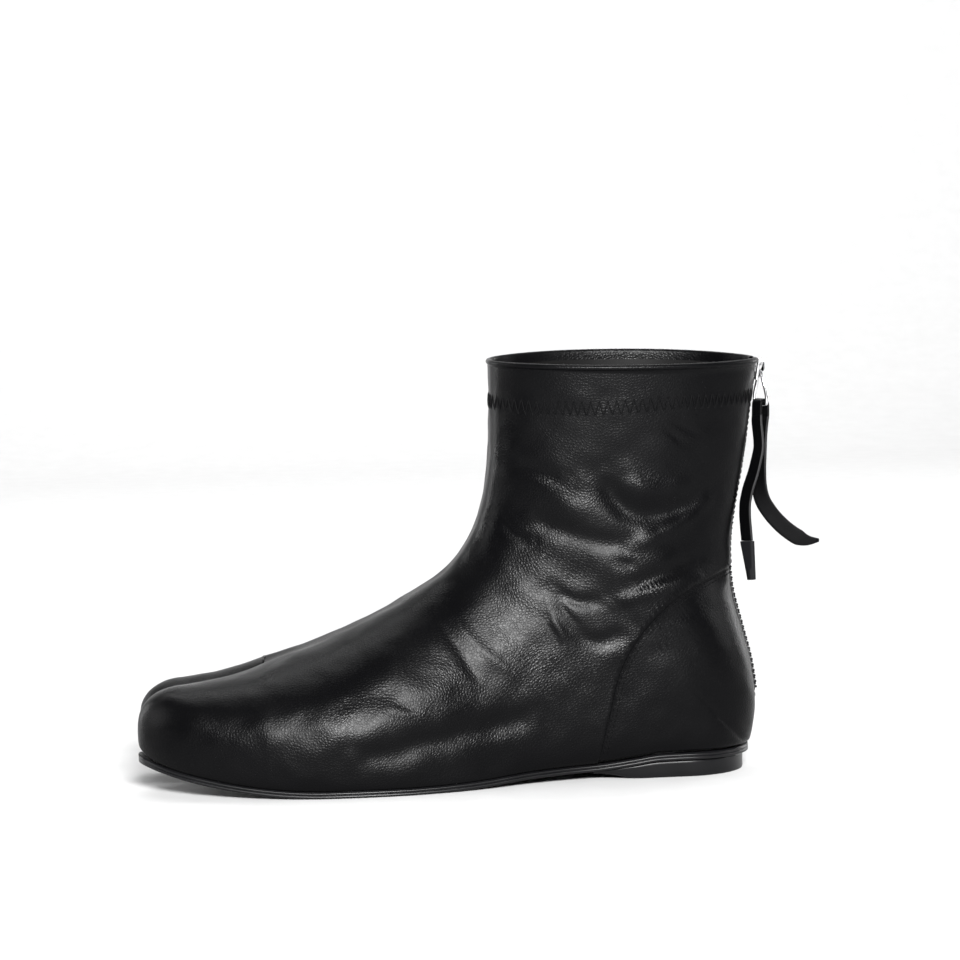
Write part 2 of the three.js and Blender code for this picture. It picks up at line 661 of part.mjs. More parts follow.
// A round or flat strand through points: across is its width's direction at each
function strand(points, acrosses, sectionPoints, closed) {
  const last = points.length - 1;
  const rings = points.map((p, i) => {
    const before = points[closed ? (i + last) % (last + 1) : Math.max(0, i - 1)];
    const after = points[closed ? (i + 1) % (last + 1) : Math.min(last, i + 1)];
    const tangent = after.clone().sub(before).normalize();
    const normal = tangent.clone().cross(acrosses[i]).normalize();
    const across = normal.clone().cross(tangent);
    return sectionPoints(i).map(({ u, v }) => p.clone()
      .addScaledVector(across, u).addScaledVector(normal, v));
  });
  if (closed) return solid(skin([...rings, rings[0]], null, null));
  return solid(skin(rings, points[0], points[last]));
}

function circle(radius, sides) {
  return Array.from({ length: sides }, (_, i) => {
    const a = (i / sides) * 2 * Math.PI;
    return { u: radius * Math.cos(a), v: radius * Math.sin(a) };
  });
}

// A flat section with eased corners
function flatSection(width, thickness) {
  const w = width / 2;
  const t = thickness / 2;
  const ease = thickness * 0.3;
  return [
    { u: w, v: -t + ease }, { u: w, v: t - ease }, { u: w - ease, v: t }, { u: ease - w, v: t },
    { u: -w, v: t - ease }, { u: -w, v: ease - t }, { u: ease - w, v: -t }, { u: w - ease, v: -t },
  ];
}

// Upper: one hollow solid, open at the collar, underneath and down the zip
function makeUpper() {
  const outer = toManifold(upperForm(0, 0));
  const inner = toManifold(upperForm(-WALL, 4));
  const under = toManifold(splitPlate(
    -WALL,
    0,
    (s) => featherLine(s) + 2 * WALL,
    (s) => featherLine(s) - 2 * WALL,
    PLAIN_EDGE,
  ));
  const seat = toManifold(splitPlate(
    SOLE_EDGE,
    TOE_LIP,
    (s) => soleTop(s) + CLEARANCE,
    (s) => soleTop(s) - HEEL_HEIGHT,
    [{ out: BALL_WIDTH / 8, level: 0 }, { out: BALL_WIDTH / 8, level: 1 }],
  ));
  const panel = toManifold(upperForm(COUNTER_STEP, 0)).intersect(toManifold(counterRegion));
  const rim = sectionAt(RIM, -RIM_BEAD);
  const rimRing = ring(halfSection(rim, 'lateral'), halfSection(rim, 'medial'))
    .map((p) => p.setZ(p.z - RIM_BEAD_HEIGHT / 2));
  const up = new THREE.Vector3(0, 0, 1);
  const bead = strand(rimRing, rimRing.map(() => up), () => circle(RIM_BEAD_HEIGHT / 2, 6), true);
  const slot = backStrip(ZIP_FOOT, BOOT_HEIGHT + 2 * WALL, ZIP_ROWS, 3 * WALL, 7 * WALL, SLOT_WIDTH);
  return outer.add(panel).add(toManifold(bead)).subtract(inner).subtract(under)
    .subtract(seat).subtract(toManifold(slot));
}

const SOLE_PROFILE = [
  { out: -GROOVE_DEPTH, level: 0 },
  { out: -GROOVE_DEPTH, level: 0.1 },
  { out: 0, level: 0.14 },
  { out: 0, level: 0.14 + RIB_HEIGHT / SOLE_THICKNESS },
  { out: -GROOVE_DEPTH, level: 0.2 + RIB_HEIGHT / SOLE_THICKNESS },
  { out: 0, level: 0.26 + RIB_HEIGHT / SOLE_THICKNESS },
  { out: 0, level: 0.93 },
  { out: -0.3, level: 1 },
];

function makeInsole() {
  const low = (s) => soleTop(s) + CLEARANCE;
  return splitPlate(-WALL - CLEARANCE, 0, (s) => low(s) + INSOLE_THICKNESS, low, PLAIN_EDGE);
}

// Heel: its underside is flat, then runs up into the shank
const BREAST = 22;
function heelBottom(s) {
  const run = clamp((s - HEEL_LENGTH) / BREAST, 0, 1);
  const edge = soleBottom(HEEL_LENGTH + BREAST) - CLEARANCE - HEEL_TOE;
  return edge * run * run * (3 - 2 * run);
}
const HEEL_TOE = 0.8; // thickness of the heel's thin front edge
const HEEL_INSET = 2.4; // how far the heel stands in from the sole's edge

function makeHeel() {
  const profile = [
    { out: 0.4, level: 0 },
    { out: 0, level: 0.93 },
    { out: -0.4, level: 1 },
  ];
  const body = plateBody(
    SOLE_EDGE - HEEL_INSET,
    (s) => soleBottom(s) - CLEARANCE,
    heelBottom,
    profile,
    HEEL_LENGTH + BREAST,
  );
  const rings = body.map((b) => ring(b.lateral, b.medial));
  return solid(skin(rings, middle(rings[0]), middle(rings.at(-1))));
}

// Zip: a tape set into the slot and a row of teeth standing on it
const zipTop = COLLAR_BACK - 1;
const zipLow = ZIP_FOOT + CLEARANCE;

function makeTape() {
  const width = SLOT_WIDTH - 2 * CLEARANCE;
  return backStrip(zipLow, zipTop, ZIP_ROWS, -TAPE_RECESS, TAPE_THICKNESS, width);
}

function makeTeeth() {
  const count = Math.round((zipTop - zipLow) / TOOTH_PITCH);
  const inner = -TAPE_RECESS + CLEARANCE;
  const outside = [];
  for (let i = 0; i < count; i += 1) {
    const low = mix(zipLow, zipTop, i / count);
    const pitch = (zipTop - zipLow) / count;
    [[0.02, 0.45], [0.22, 1], [0.72, 1], [0.92, 0.45]].forEach(([share, proud]) => {
      const z = low + share * pitch;
      outside.push({ s: backCurve(z) - TEETH_PROUD * proud, z });
    });
  }
  const inside = backLine(zipLow, zipTop, ZIP_ROWS, inner).reverse();
  return prism([...outside, ...inside], TEETH_WIDTH);
}

// Slider at the collar with a bridge that holds the loop
const sliderTop = COLLAR_BACK - SLIDER_DROP;
const sliderFoot = sliderTop - SLIDER_HEIGHT;
const sliderOut = TEETH_PROUD + CLEARANCE + SLIDER_THICKNESS;

// The bridge's side view: out from the slider's face, as shares of its reach, and
// up, as shares of the slider's height
const BRIDGE = [
  { out: -0.15, up: 0.97 },
  { out: 0.85, up: 0.97 },
  { out: 1, up: 0.88 },
  { out: 1, up: 0.5 },
  { out: 0.62, up: 0.16 },
  { out: 0.3, up: 0.06 },
  { out: -0.15, up: 0.06 },
];
const LOOP_PLACE = 0.38; // the loop's top, as a share of the slider's height
const HOLE_LOW = 0.2; // the hole through the bridge, likewise
const HOLE_HIGH = 0.64;

function bridgePoint({ out, up }) {
  const z = mix(sliderFoot, sliderTop, up);
  return { s: backCurve(z) - sliderOut - out * BRIDGE_REACH, z };
}

function makeSlider() {
  const strip = (out, depth, width) => toManifold(
    backStrip(sliderFoot, sliderTop, SLIDER_ROWS, out, depth, width),
  );
  const body = strip(sliderOut, SLIDER_THICKNESS, SLIDER_WIDTH);
  const outer = BRIDGE.map(bridgePoint);
  const wall = 1 - BRIDGE_WALL / BRIDGE_REACH;
  const hole = [[-0.2, HOLE_LOW], [wall, HOLE_LOW + 0.1], [wall, HOLE_HIGH], [-0.2, HOLE_HIGH]]
    .map(([out, up]) => bridgePoint({ out, up }));
  const bridge = toManifold(prism(outer, BRIDGE_WIDTH))
    .subtract(toManifold(prism(hole, 2 * BRIDGE_WIDTH)))
    .subtract(strip(sliderOut - SLIDER_THICKNESS, sliderOut, 2 * BRIDGE_WIDTH));
  return body.add(bridge);
}

// Directions of the loop: along its bar, away from the boot, and down
const barWay = new THREE.Vector3(Math.sin(LOOP_TURN), -Math.cos(LOOP_TURN), 0);
const outWay = new THREE.Vector3(Math.cos(LOOP_TURN), Math.sin(LOOP_TURN), 0);
const downWay = new THREE.Vector3(0, 0, -1);
const loopZ = mix(sliderFoot, sliderTop, LOOP_PLACE);
const loopS = backCurve(loopZ) - sliderOut - CLEARANCE - LOOP_WIRE / 2;
const loopTop = new THREE.Vector3(toX(loopS), 0, loopZ);
const barMiddle = loopTop.clone().addScaledVector(downWay, LOOP_HEIGHT);

// Half the loop, from its top to its bar: half width as a share of the loop's width,
// down as a share of its height, and how much of its turn it has there
const LOOP_SHAPE = [
  { half: 0.15, down: 0, turned: 0 },
  { half: 0.27, down: 0.07, turned: 0.1 },
  { half: 0.42, down: 0.34, turned: 0.5 },
  { half: 0.5, down: 0.68, turned: 0.9 },
  { half: 0.49, down: 0.92, turned: 1 },
  { half: 0.42, down: 1, turned: 1 },
];

function makeLoop() {
  const side = (sign) => LOOP_SHAPE.map(({ half, down, turned }) => {
    const way = new THREE.Vector3(0, -1, 0).lerp(barWay, turned);
    return loopTop.clone().addScaledVector(way, sign * half * LOOP_WIDTH)
      .addScaledVector(downWay, down * LOOP_HEIGHT);
  });
  const curve = new THREE.CatmullRomCurve3([...side(1), ...side(-1).reverse()], true);
  const points = curve.getPoints(WIRE_ROWS).slice(0, -1);
  return strand(points, points.map(() => outWay), () => circle(LOOP_WIRE / 2, 7), true);
}

// Leather tie: folded over the loop's bar, then two tails.
// out: away from the bar's middle, side: towards the little toe, down, and turn of
// the flat side towards the viewer of the little-toe side, in degrees
const TAIL_BY_HEEL = [
  { out: -1.7, side: 0.8, down: 4.6, turn: 25 },
  { out: -1.8, side: 1.4, down: 8, turn: 26 },
  { out: -1.5, side: 1.9, down: 12.5, turn: 26 },
  { out: -1.4, side: 2.5, down: 17.5, turn: 25 },
  { out: -2.2, side: 3, down: 21.6, turn: 26 },
  { out: -4.1, side: 3.5, down: 28.5, turn: 28 },
  { out: -6.2, side: 3.8, down: 34.5, turn: 30 },
  { out: -7.5, side: 3.9, down: 40.2, turn: 31 },
  { out: -7.8, side: 4, down: 44.5, turn: 32 },
  { out: -7.6, side: 4.1, down: 49.5, turn: 33 },
  { out: -7.1, side: 4.2, down: 56.3, turn: 33 },
];
const TAIL_AWAY = [
  { out: 1.55, side: -0.72, down: 4.6, turn: 25 },
  { out: 1, side: -1.3, down: 9.2, turn: 25 },
  { out: 0.6, side: -1.7, down: 14.1, turn: 26 },
  { out: 0.1, side: -2, down: 21.5, turn: 31 },
  { out: -0.5, side: -2.2, down: 28, turn: 43 },
  { out: -0.5, side: -2.4, down: 35, turn: 58 },
  { out: 1, side: -2.7, down: 41, turn: 71 },
  { out: 4.2, side: -2.8, down: 46.1, turn: 78 },
  { out: 8.3, side: -2.8, down: 50.8, turn: 82 },
  { out: 12.4, side: -2.8, down: 54.3, turn: 84 },
  { out: 16, side: -2.8, down: 56.6, turn: 84 },
  { out: 19.6, side: -2.8, down: 57.8, turn: 84 },
  { out: 24.2, side: -2.8, down: 57.8, turn: 84 },
];

function tailPoint({ out, side, down }) {
  return barMiddle.clone().add(new THREE.Vector3(out, -side, -down));
}

// Width's direction of a flat strap that hangs along a tangent, turned by an angle
function strapAcross(points, rows) {
  return points.map((p, i) => {
    const a = points[Math.max(0, i - 1)];
    const b = points[Math.min(points.length - 1, i + 1)];
    const tangent = b.clone().sub(a).normalize();
    const flat = new THREE.Vector3(0, 1, 0).cross(tangent).normalize();
    const turn = THREE.MathUtils.degToRad(rows[i].turn);
    return new THREE.Vector3(0, -Math.cos(turn), 0).addScaledVector(flat, -Math.sin(turn));
  });
}

function makeTail(rows, taper) {
  const points = rows.map(tailPoint);
  const width = (i) => TIE_WIDTH * (i < rows.length - 1 ? 1 : taper);
  const section = (i) => flatSection(width(i), TIE_THICKNESS);
  return strand(points, strapAcross(points, rows), section, false);
}

function makeFold() {
  const radius = LOOP_WIRE / 2 + CLEARANCE + TIE_THICKNESS / 2;
  const arc = Array.from({ length: 9 }, (_, i) => {
    const a = (i / 8) * Math.PI;
    return barMiddle.clone().addScaledVector(outWay, -radius * Math.cos(a))
      .add(new THREE.Vector3(0, 0, radius * Math.sin(a)));
  });
  const endDown = TAIL_BY_HEEL[0].down - 2 * CLEARANCE;
  const end = (row) => tailPoint({ ...row, down: endDown });
  const points = [end(TAIL_BY_HEEL[0]), ...arc, end(TAIL_AWAY[0])];
  const section = () => flatSection(TIE_WIDTH, TIE_THICKNESS);
  return strand(points, points.map(() => barWay), section, false);
}

function makeSleeve() {
  const last = TAIL_BY_HEEL.at(-1);
  const rows = [0, 0.33, 0.66, 1].map((share) => ({
    ...last,
    out: last.out + 1.6 * share,
    down: last.down + CLEARANCE + SLEEVE_LENGTH * share,
  }));
  const points = rows.map(tailPoint);
  const width = (i) => mix(TIE_WIDTH + 2 * SLEEVE_WALL, 0.62 * TIE_WIDTH, i / (rows.length - 1));
  const section = (i) => flatSection(width(i), TIE_THICKNESS + 2 * SLEEVE_WALL);
  return strand(points, strapAcross(points, rows), section, false);
}

function mesh(name, geometry, color, roughness, metalness) {
  const material = new THREE.MeshStandardMaterial({ color, roughness, metalness });
  const piece = new THREE.Mesh(geometry, material);
  piece.name = name;
  return piece;
}

const soleRubber = [0x1a1b1f, 0.6, 0];
const leather = [0x131314, 0.38, 0];
const metal = [0xb9bcc0, 0.25, 1];

const boot = new THREE.Group();
const outsole = splitPlate(SOLE_EDGE, TOE_LIP, soleTop, soleBottom, SOLE_PROFILE);
boot.add(mesh('outsole', outsole, ...soleRubber));
boot.add(mesh('heel', makeHeel(), ...soleRubber));
boot.add(mesh('insole', makeInsole(), 0x17171a, 0.7, 0));
boot.add(mesh('upper', toGeometry(makeUpper()), ...leather));
boot.add(mesh('zip_tape', makeTape(), 0x101012, 0.8, 0));
boot.add(mesh('zip_teeth', makeTeeth(), 0x1c1c1f, 0.35, 0.6));
boot.add(mesh('zip_slider', toGeometry(makeSlider()), ...metal));
boot.add(mesh('pull_loop', makeLoop(), ...metal));
boot.add(mesh('tie_fold', makeFold(), ...leather));
boot.add(mesh('tie_tail_inner', makeTail(TAIL_BY_HEEL, 1), ...leather));
boot.add(mesh('tie_tail_outer', makeTail(TAIL_AWAY, 0.25), ...leather));
boot.add(mesh('tie_sleeve', makeSleeve(), 0x2b2b2e, 0.6, 0));
export default boot;
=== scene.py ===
import math

import bmesh
import bpy
import numpy as np
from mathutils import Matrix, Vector
from mathutils.bvhtree import BVHTree


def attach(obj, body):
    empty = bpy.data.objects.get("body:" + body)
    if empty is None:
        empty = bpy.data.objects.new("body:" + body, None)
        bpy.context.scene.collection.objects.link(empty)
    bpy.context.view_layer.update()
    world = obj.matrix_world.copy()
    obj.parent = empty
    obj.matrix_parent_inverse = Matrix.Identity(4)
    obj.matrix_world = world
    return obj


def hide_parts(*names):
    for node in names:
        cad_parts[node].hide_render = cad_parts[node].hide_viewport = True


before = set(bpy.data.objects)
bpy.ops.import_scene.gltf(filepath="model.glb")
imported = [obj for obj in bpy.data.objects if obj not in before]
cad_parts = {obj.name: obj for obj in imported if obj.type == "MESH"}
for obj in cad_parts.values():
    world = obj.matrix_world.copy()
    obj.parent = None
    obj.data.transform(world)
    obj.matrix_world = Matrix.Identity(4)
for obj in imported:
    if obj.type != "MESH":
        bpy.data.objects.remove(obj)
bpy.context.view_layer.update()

MM = 0.001

# Sizes of the boot in millimetres
LENGTH = 259.5
SHAFT_DEPTH = 111
SPLIT_LENGTH = 53.5
HEEL_LENGTH = 52
BOOT_HEIGHT = 172.5
COLLAR_DROP = 2
INSTEP_HEIGHT = 91
HEEL_HEIGHT = 10
TOE_SPRING = 13.5
TIP_HEIGHT = 27
ZIP_FOOT = 32
BALL_WIDTH = 92
SHAFT_WIDTH = 61
HEEL_WIDTH = 53
SPLIT_OFFSET = 5
SPLIT_GAP = 3
SPLIT_ROUND = 13
WALL = 1.8
COUNTER_STEP = 0.8
SOLE_THICKNESS = 2.8
SOLE_EDGE = 0.7
GROOVE_DEPTH = 0.6
CLEARANCE = 0.3
END_HALF = 1.5
RIM_DIP = 1.5
RIM_RISE = 2.5
RIM_BEAD = 0.5
RIM_BEAD_HEIGHT = 2.4
SLOT_WIDTH = 8
TEETH_PROUD = 1
HEEL_BACK = 6.8
HEEL_ROUND = 27
HEEL_INSET = 2.4
HEEL_TOE = 0.8
BREAST = 22
BALL_FRONT = 1.49
TOE_TUCK = 2
TOE_LIP = 1.3
PLAN_ROUND = 25
NOSE_ROUND = 17
HEEL_MIDDLE = HEEL_LENGTH / 2 + 6
SPLIT_END = LENGTH - SPLIT_LENGTH
COLLAR_BACK = BOOT_HEIGHT - COLLAR_DROP

# Camera
VIEW_AZIMUTH = 3.5
VIEW_ELEVATION = 6.6
VIEW_ROLL = 1.5
VIEW_DISTANCE = 1300
VIEW_SCALE = 2.415  # picture elements per millimetre at the aim
AIM = (-100, 0, 80)
AIM_PLACE = (443, 584.3)
PICTURE = 960


def make_camera():
    a, e, r = (math.radians(v) for v in (VIEW_AZIMUTH, VIEW_ELEVATION, VIEW_ROLL))
    back = Vector((-math.sin(a) * math.cos(e), -math.cos(a) * math.cos(e), math.sin(e)))
    right = (-back).cross(Vector((0, 0, 1))).normalized()
    up = back.cross(right)
    turned_right = right * math.cos(r) - up * math.sin(r)
    turned_up = right * math.sin(r) + up * math.cos(r)
    data = bpy.data.cameras.new("camera")
    data.sensor_width = 36
    data.lens = VIEW_SCALE * VIEW_DISTANCE * data.sensor_width / PICTURE
    data.shift_x = (PICTURE / 2 - AIM_PLACE[0]) / PICTURE
    data.shift_y = (AIM_PLACE[1] - PICTURE / 2) / PICTURE
    data.clip_start, data.clip_end = 0.01, 50
    camera = bpy.data.objects.new("camera", data)
    bpy.context.scene.collection.objects.link(camera)
    matrix = camera.matrix_world.to_3x3()
    for i in range(3):
        matrix[i] = (turned_right[i], turned_up[i], back[i])
    camera.matrix_world = matrix.to_4x4()
    camera.location = (Vector(AIM) + back * VIEW_DISTANCE) * MM
    bpy.context.scene.camera = camera


make_camera()


# Curves and meshes
def mix(a, b, t):
    return a + (b - a) * t


def clamp(v, low, high):
    return min(high, max(low, v))


def smooth_curve(places, values):
    """A smooth curve through rows of (place, value)."""
    last = len(places) - 1
    slopes = []
    for i in range(last + 1):
        a, b = max(0, i - 1), min(last, i + 1)
        slopes.append((values[b] - values[a]) / (places[b] - places[a]))

    def curve(p):
        i = 0
        while i < last - 1 and p > places[i + 1]:
            i += 1
        span = places[i + 1] - places[i]
        t = (p - places[i]) / span
        h = t * t * (3 - 2 * t)
        rise = (t - 2 * t * t + t ** 3) * slopes[i] * span
        fall = (t ** 3 - t * t) * slopes[i + 1] * span
        return values[i] * (1 - h) + values[i + 1] * h + rise + fall

    return curve


def smooth_path(points, count):
    """Points at even steps on a smooth curve through the given points."""
    points = np.array(points, float)
    reach = np.concatenate([[0], np.cumsum(np.linalg.norm(np.diff(points, axis=0), axis=1))])
    curves = [smooth_curve(list(reach), list(points[:, i])) for i in range(points.shape[1])]
    fine = np.array([[c(p) for c in curves] for p in np.linspace(0, reach[-1], count * 4)])
    steps = np.concatenate([[0], np.cumsum(np.linalg.norm(np.diff(fine, axis=0), axis=1))])
    even = np.linspace(0, steps[-1], count)
    return np.stack([np.interp(even, steps, fine[:, i]) for i in range(fine.shape[1])], 1)


def add_mesh(name, points, faces, material, smooth=True):
    """An object from points in millimetres."""
    data = bpy.data.meshes.new(name)
    data.from_pydata([tuple(float(v) * MM for v in p) for p in points], [], faces)
    data.validate()
    data.polygons.foreach_set("use_smooth", [smooth] * len(data.polygons))
    piece = bpy.data.objects.new(name, data)
    bpy.context.scene.collection.objects.link(piece)
    data.materials.append(material)
    return piece


def face_out(piece):
    """Turns a closed or nearly closed mesh's faces outwards."""
    bm = bmesh.new()
    bm.from_mesh(piece.data)
    bmesh.ops.recalc_face_normals(bm, faces=bm.faces)
    bm.to_mesh(piece.data)
    bm.free()


def grid_faces(rows, columns, closed=False):
    faces = []
    wrap = columns if closed else columns - 1
    for k in range(rows - 1):
        for i in range(wrap):
            j = (i + 1) % columns
            a = k * columns
            faces.append((a + i, a + j, a + columns + j, a + columns + i))
    return faces


def sweep(points, acrosses, section, closed=False):
    """Carries a section, or one for each point, along points; across is its width's way."""
    points = np.array(points, float)
    n = len(points)
    tangents = np.array([
        points[(i + 1) % n if closed else min(i + 1, n - 1)]
        - points[(i - 1) % n if closed else max(i - 1, 0)] for i in range(n)
    ])
    tangents /= np.linalg.norm(tangents, axis=1)[:, None]
    each = section if isinstance(section[0][0], tuple) else [section] * n
    out = []
    for i in range(n):
        normal = np.cross(tangents[i], acrosses[i])
        normal /= np.linalg.norm(normal)
        across = np.cross(normal, tangents[i])
        for u, v in each[i]:
            out.append(points[i] + across * u + normal * v)
    m = len(each[0])
    faces = grid_faces(n, m, closed=True)
    if closed:
        faces += [((n - 1) * m + i, (n - 1) * m + (i + 1) % m, (i + 1) % m, i) for i in range(m)]
    else:
        faces += [tuple(range(m)), tuple((n - 1) * m + i for i in range(m - 1, -1, -1))]
    return out, faces


def circle_section(radius, sides):
    return [(radius * math.cos(a), radius * math.sin(a))
            for a in np.linspace(0, 2 * math.pi, sides, endpoint=False)]


def join(parts):
    """Joins (points, faces) pairs."""
    points, faces = [], []
    for p, f in parts:
        base = len(points)
        points.extend(p)
        faces.extend(tuple(i + base for i in face) for face in f)
    return points, faces


# Materials
def new_material(name, **values):
    material = bpy.data.materials.new(name)
    material.use_nodes = True
    shader = material.node_tree.nodes["Principled BSDF"]
    for key, value in values.items():
        shader.inputs[key.replace("_", " ")].default_value = value
    return material, material.node_tree, shader


def node(tree, kind, links=(), **values):
    """A shader node; links are (input name, socket) pairs."""
    made = tree.nodes.new(kind)
    for key, value in values.items():
        if hasattr(made, key):
            setattr(made, key, value)
        else:
            made.inputs[key.replace("_", " ")].default_value = value
    for key, socket in links:
        tree.links.new(socket, made.inputs[key])
    return made


def ramp(tree, socket, stops):
    made = tree.nodes.new("ShaderNodeValToRGB")
    elements = made.color_ramp.elements
    while len(elements) < len(stops):
        elements.new(0.5)
    for element, (place, color) in zip(elements, stops):
        element.position = place
        element.color = (*color, 1) if isinstance(color, tuple) else (color, color, color, 1)
    tree.links.new(socket, made.inputs["Fac"])
    return made.outputs["Color"]


def object_place(tree):
    return node(tree, "ShaderNodeTexCoord").outputs["Object"]


def noise(tree, place, scale, detail):
    made = node(tree, "ShaderNodeTexNoise", [("Vector", place)], Scale=scale, Detail=detail)
    return made.outputs["Fac"]


def wave(tree, place, way, scale, distortion):
    made = node(
        tree, "ShaderNodeTexWave", [("Vector", place)], bands_direction=way,
        Scale=scale, Distortion=distortion, Detail=1,
    )
    return made.outputs["Fac"]


def shade(tree, shader, pattern, color, stops):
    """Tints the surface by a pattern; stops are (place in the pattern, share of the colour)."""
    tint = ramp(tree, pattern, [
        (place, tuple(min(1, c * share) for c in color)) for place, share in stops
    ])
    tree.links.new(tint, shader.inputs["Base Color"])


def gloss(tree, shader, pattern, stops):
    tree.links.new(ramp(tree, pattern, stops), shader.inputs["Roughness"])


def relief(tree, shader, pattern, strength, distance, links=()):
    bump = node(
        tree, "ShaderNodeBump", [("Height", pattern), *links],
        Strength=strength, Distance=distance,
    )
    tree.links.new(bump.outputs["Normal"], shader.inputs["Normal"])
    return bump.outputs["Normal"]


def leather(name, color, light, roughness, grain, strength):
    """Black leather: pebbled grain, pores and softly uneven gloss. grain is cells per metre."""
    material, tree, shader = new_material(
        name, Specular_IOR_Level=0.06, Coat_Weight=0.02, Coat_Roughness=0.25,
    )
    place = object_place(tree)
    cells = node(
        tree, "ShaderNodeTexVoronoi", [("Vector", place)],
        feature="DISTANCE_TO_EDGE", Scale=grain, Randomness=0.9,
    )
    fine = noise(tree, place, grain * 2.2, 4)
    broad = noise(tree, place, 38, 4)
    worn = node(
        tree, "ShaderNodeMix", [("Factor", broad)],
        data_type="RGBA", A=(*color, 1), B=(*light, 1),
    )
    tree.links.new(worn.outputs["Result"], shader.inputs["Base Color"])
    gloss(tree, shader, broad, [(0.3, roughness - 0.05), (0.7, roughness + 0.07)])
    pebble = ramp(tree, cells.outputs["Distance"], [(0.0, 0.0), (0.3, 0.75), (0.6, 1.0)])
    low = relief(tree, shader, pebble, strength, 0.00012)
    relief(tree, shader, fine, strength * 0.6, 0.00006, [("Normal", low)])
    return material


def rubber(name, color, roughness, specular):
    material, tree, shader = new_material(name, Specular_IOR_Level=specular)
    place = object_place(tree)
    broad = noise(tree, place, 45, 4)
    shade(tree, shader, broad, color, [(0.3, 0.8), (0.7, 1.25)])
    gloss(tree, shader, broad, [(0.3, roughness - 0.06), (0.75, roughness + 0.06)])
    relief(tree, shader, noise(tree, place, 1400, 3), 0.35, 0.00006)
    return material


def cloth(name, color, threads, roughness):
    """A plain weave: threads are threads per metre."""
    material, tree, shader = new_material(name, Roughness=roughness, Sheen_Weight=0.15)
    place = object_place(tree)
    waves = [wave(tree, place, way, threads / 3.2, 0.4) for way in ("X", "Z")]
    weave = node(tree, "ShaderNodeMath", [(0, waves[0]), (1, waves[1])], operation="MAXIMUM")
    shade(tree, shader, weave.outputs["Value"], color, [(0.2, 0.5), (0.9, 1.4)])
    relief(tree, shader, weave.outputs["Value"], 0.5, 0.0001)
    return material


def metal(name, color, roughness):
    material, tree, shader = new_material(name, Metallic=1.0)
    place = object_place(tree)
    broad = noise(tree, place, 260, 4)
    shade(tree, shader, broad, color, [(0.3, 0.85), (0.7, 1.1)])
    gloss(tree, shader, broad, [(0.3, roughness), (0.7, roughness + 0.12)])
    relief(tree, shader, noise(tree, place, 2600, 2), 0.15, 0.00003)
    return material


def thread(name, color):
    material, tree, shader = new_material(name, Roughness=0.6, Specular_IOR_Level=0.06)
    twist = wave(tree, object_place(tree), "DIAGONAL", 900, 1)
    shade(tree, shader, twist, color, [(0.2, 0.5), (0.8, 1.5)])
    relief(tree, shader, twist, 0.4, 0.00005)
    return material


BLACK = (0.0008, 0.0008, 0.001)
WORN_BLACK = (0.0016, 0.0016, 0.0018)
BOOT_LEATHER = leather("boot leather", BLACK, WORN_BLACK, 0.31, 900, 0.5)
TIE_LEATHER = leather("tie leather", BLACK, WORN_BLACK, 0.4, 1300, 0.4)
LINING = leather("lining leather", (0.001, 0.001, 0.001), (0.002, 0.0018, 0.0018), 0.6, 1800, 0.3)
SLEEVE = leather("sleeve leather", (0.005, 0.005, 0.0055), (0.008, 0.008, 0.009), 0.55, 1300, 0.4)
SOLE_RUBBER = rubber("sole rubber", (0.004, 0.0043, 0.0054), 0.5, 0.25)
EDGE_PAINT = rubber("sole edge", (0.002, 0.002, 0.0024), 0.36, 0.2)
CUT_EDGE = rubber("cut edge of the tie", (0.008, 0.008, 0.0086), 0.5, 0.15)
INSOLE_CLOTH = cloth("insole cloth", (0.005, 0.005, 0.0055), 2400, 0.8)
TAPE_CLOTH = cloth("zip tape", (0.0022, 0.0022, 0.0025), 2600, 0.85)
TOOTH = rubber("zip teeth", (0.0018, 0.0018, 0.002), 0.5, 0.1)
METAL = metal("polished metal", (0.62, 0.62, 0.63), 0.16)
THREAD = thread("black thread", (0.0012, 0.0012, 0.0014))

# Slider, loop and tie
LOOP_HEIGHT = 13.5
LOOP_WIDTH = 9
LOOP_WIRE = 1.5
LOOP_TURN = math.radians(25)
LOOP_PLACE = 0.38
SLIDER_HEIGHT = 9
SLIDER_DROP = 0.6
SLIDER_THICKNESS = 0.9
TIE_WIDTH = 6.8
TIE_THICKNESS = 1.3
SLEEVE_LENGTH = 16
SLEEVE_LEAN = 1.6
SLEEVE_WALL = 0.5


# Form of the foot: the same tables and functions as the solids have
ARCH = [
    (0.0, 1.0), (0.41, 1.0), (0.52, 0.8), (0.64, 0.6), (0.8, 0.5),
    (0.93, 0.38), (1.05, 0.17), (1.16, 0.05), (1.26, 0.0),
]
HEEL_OUTLINE = [
    (0.0, 0.49, 0.49), (0.3, 0.5, 0.49), (0.5, 0.515, 0.475), (0.7, 0.545, 0.445),
]
FOREFOOT_OUTLINE = [
    (0.87, 0.355, 0.265), (1.0, 0.395, 0.3), (1.14, 0.45, 0.37), (1.28, 0.485, 0.435),
    (1.42, 0.497, 0.463), (1.54, 0.487, 0.467), (1.65, 0.467, 0.459), (1.76, 0.435, 0.447),
    (1.88, 0.385, 0.425), (2.0, 0.325, 0.395),
]
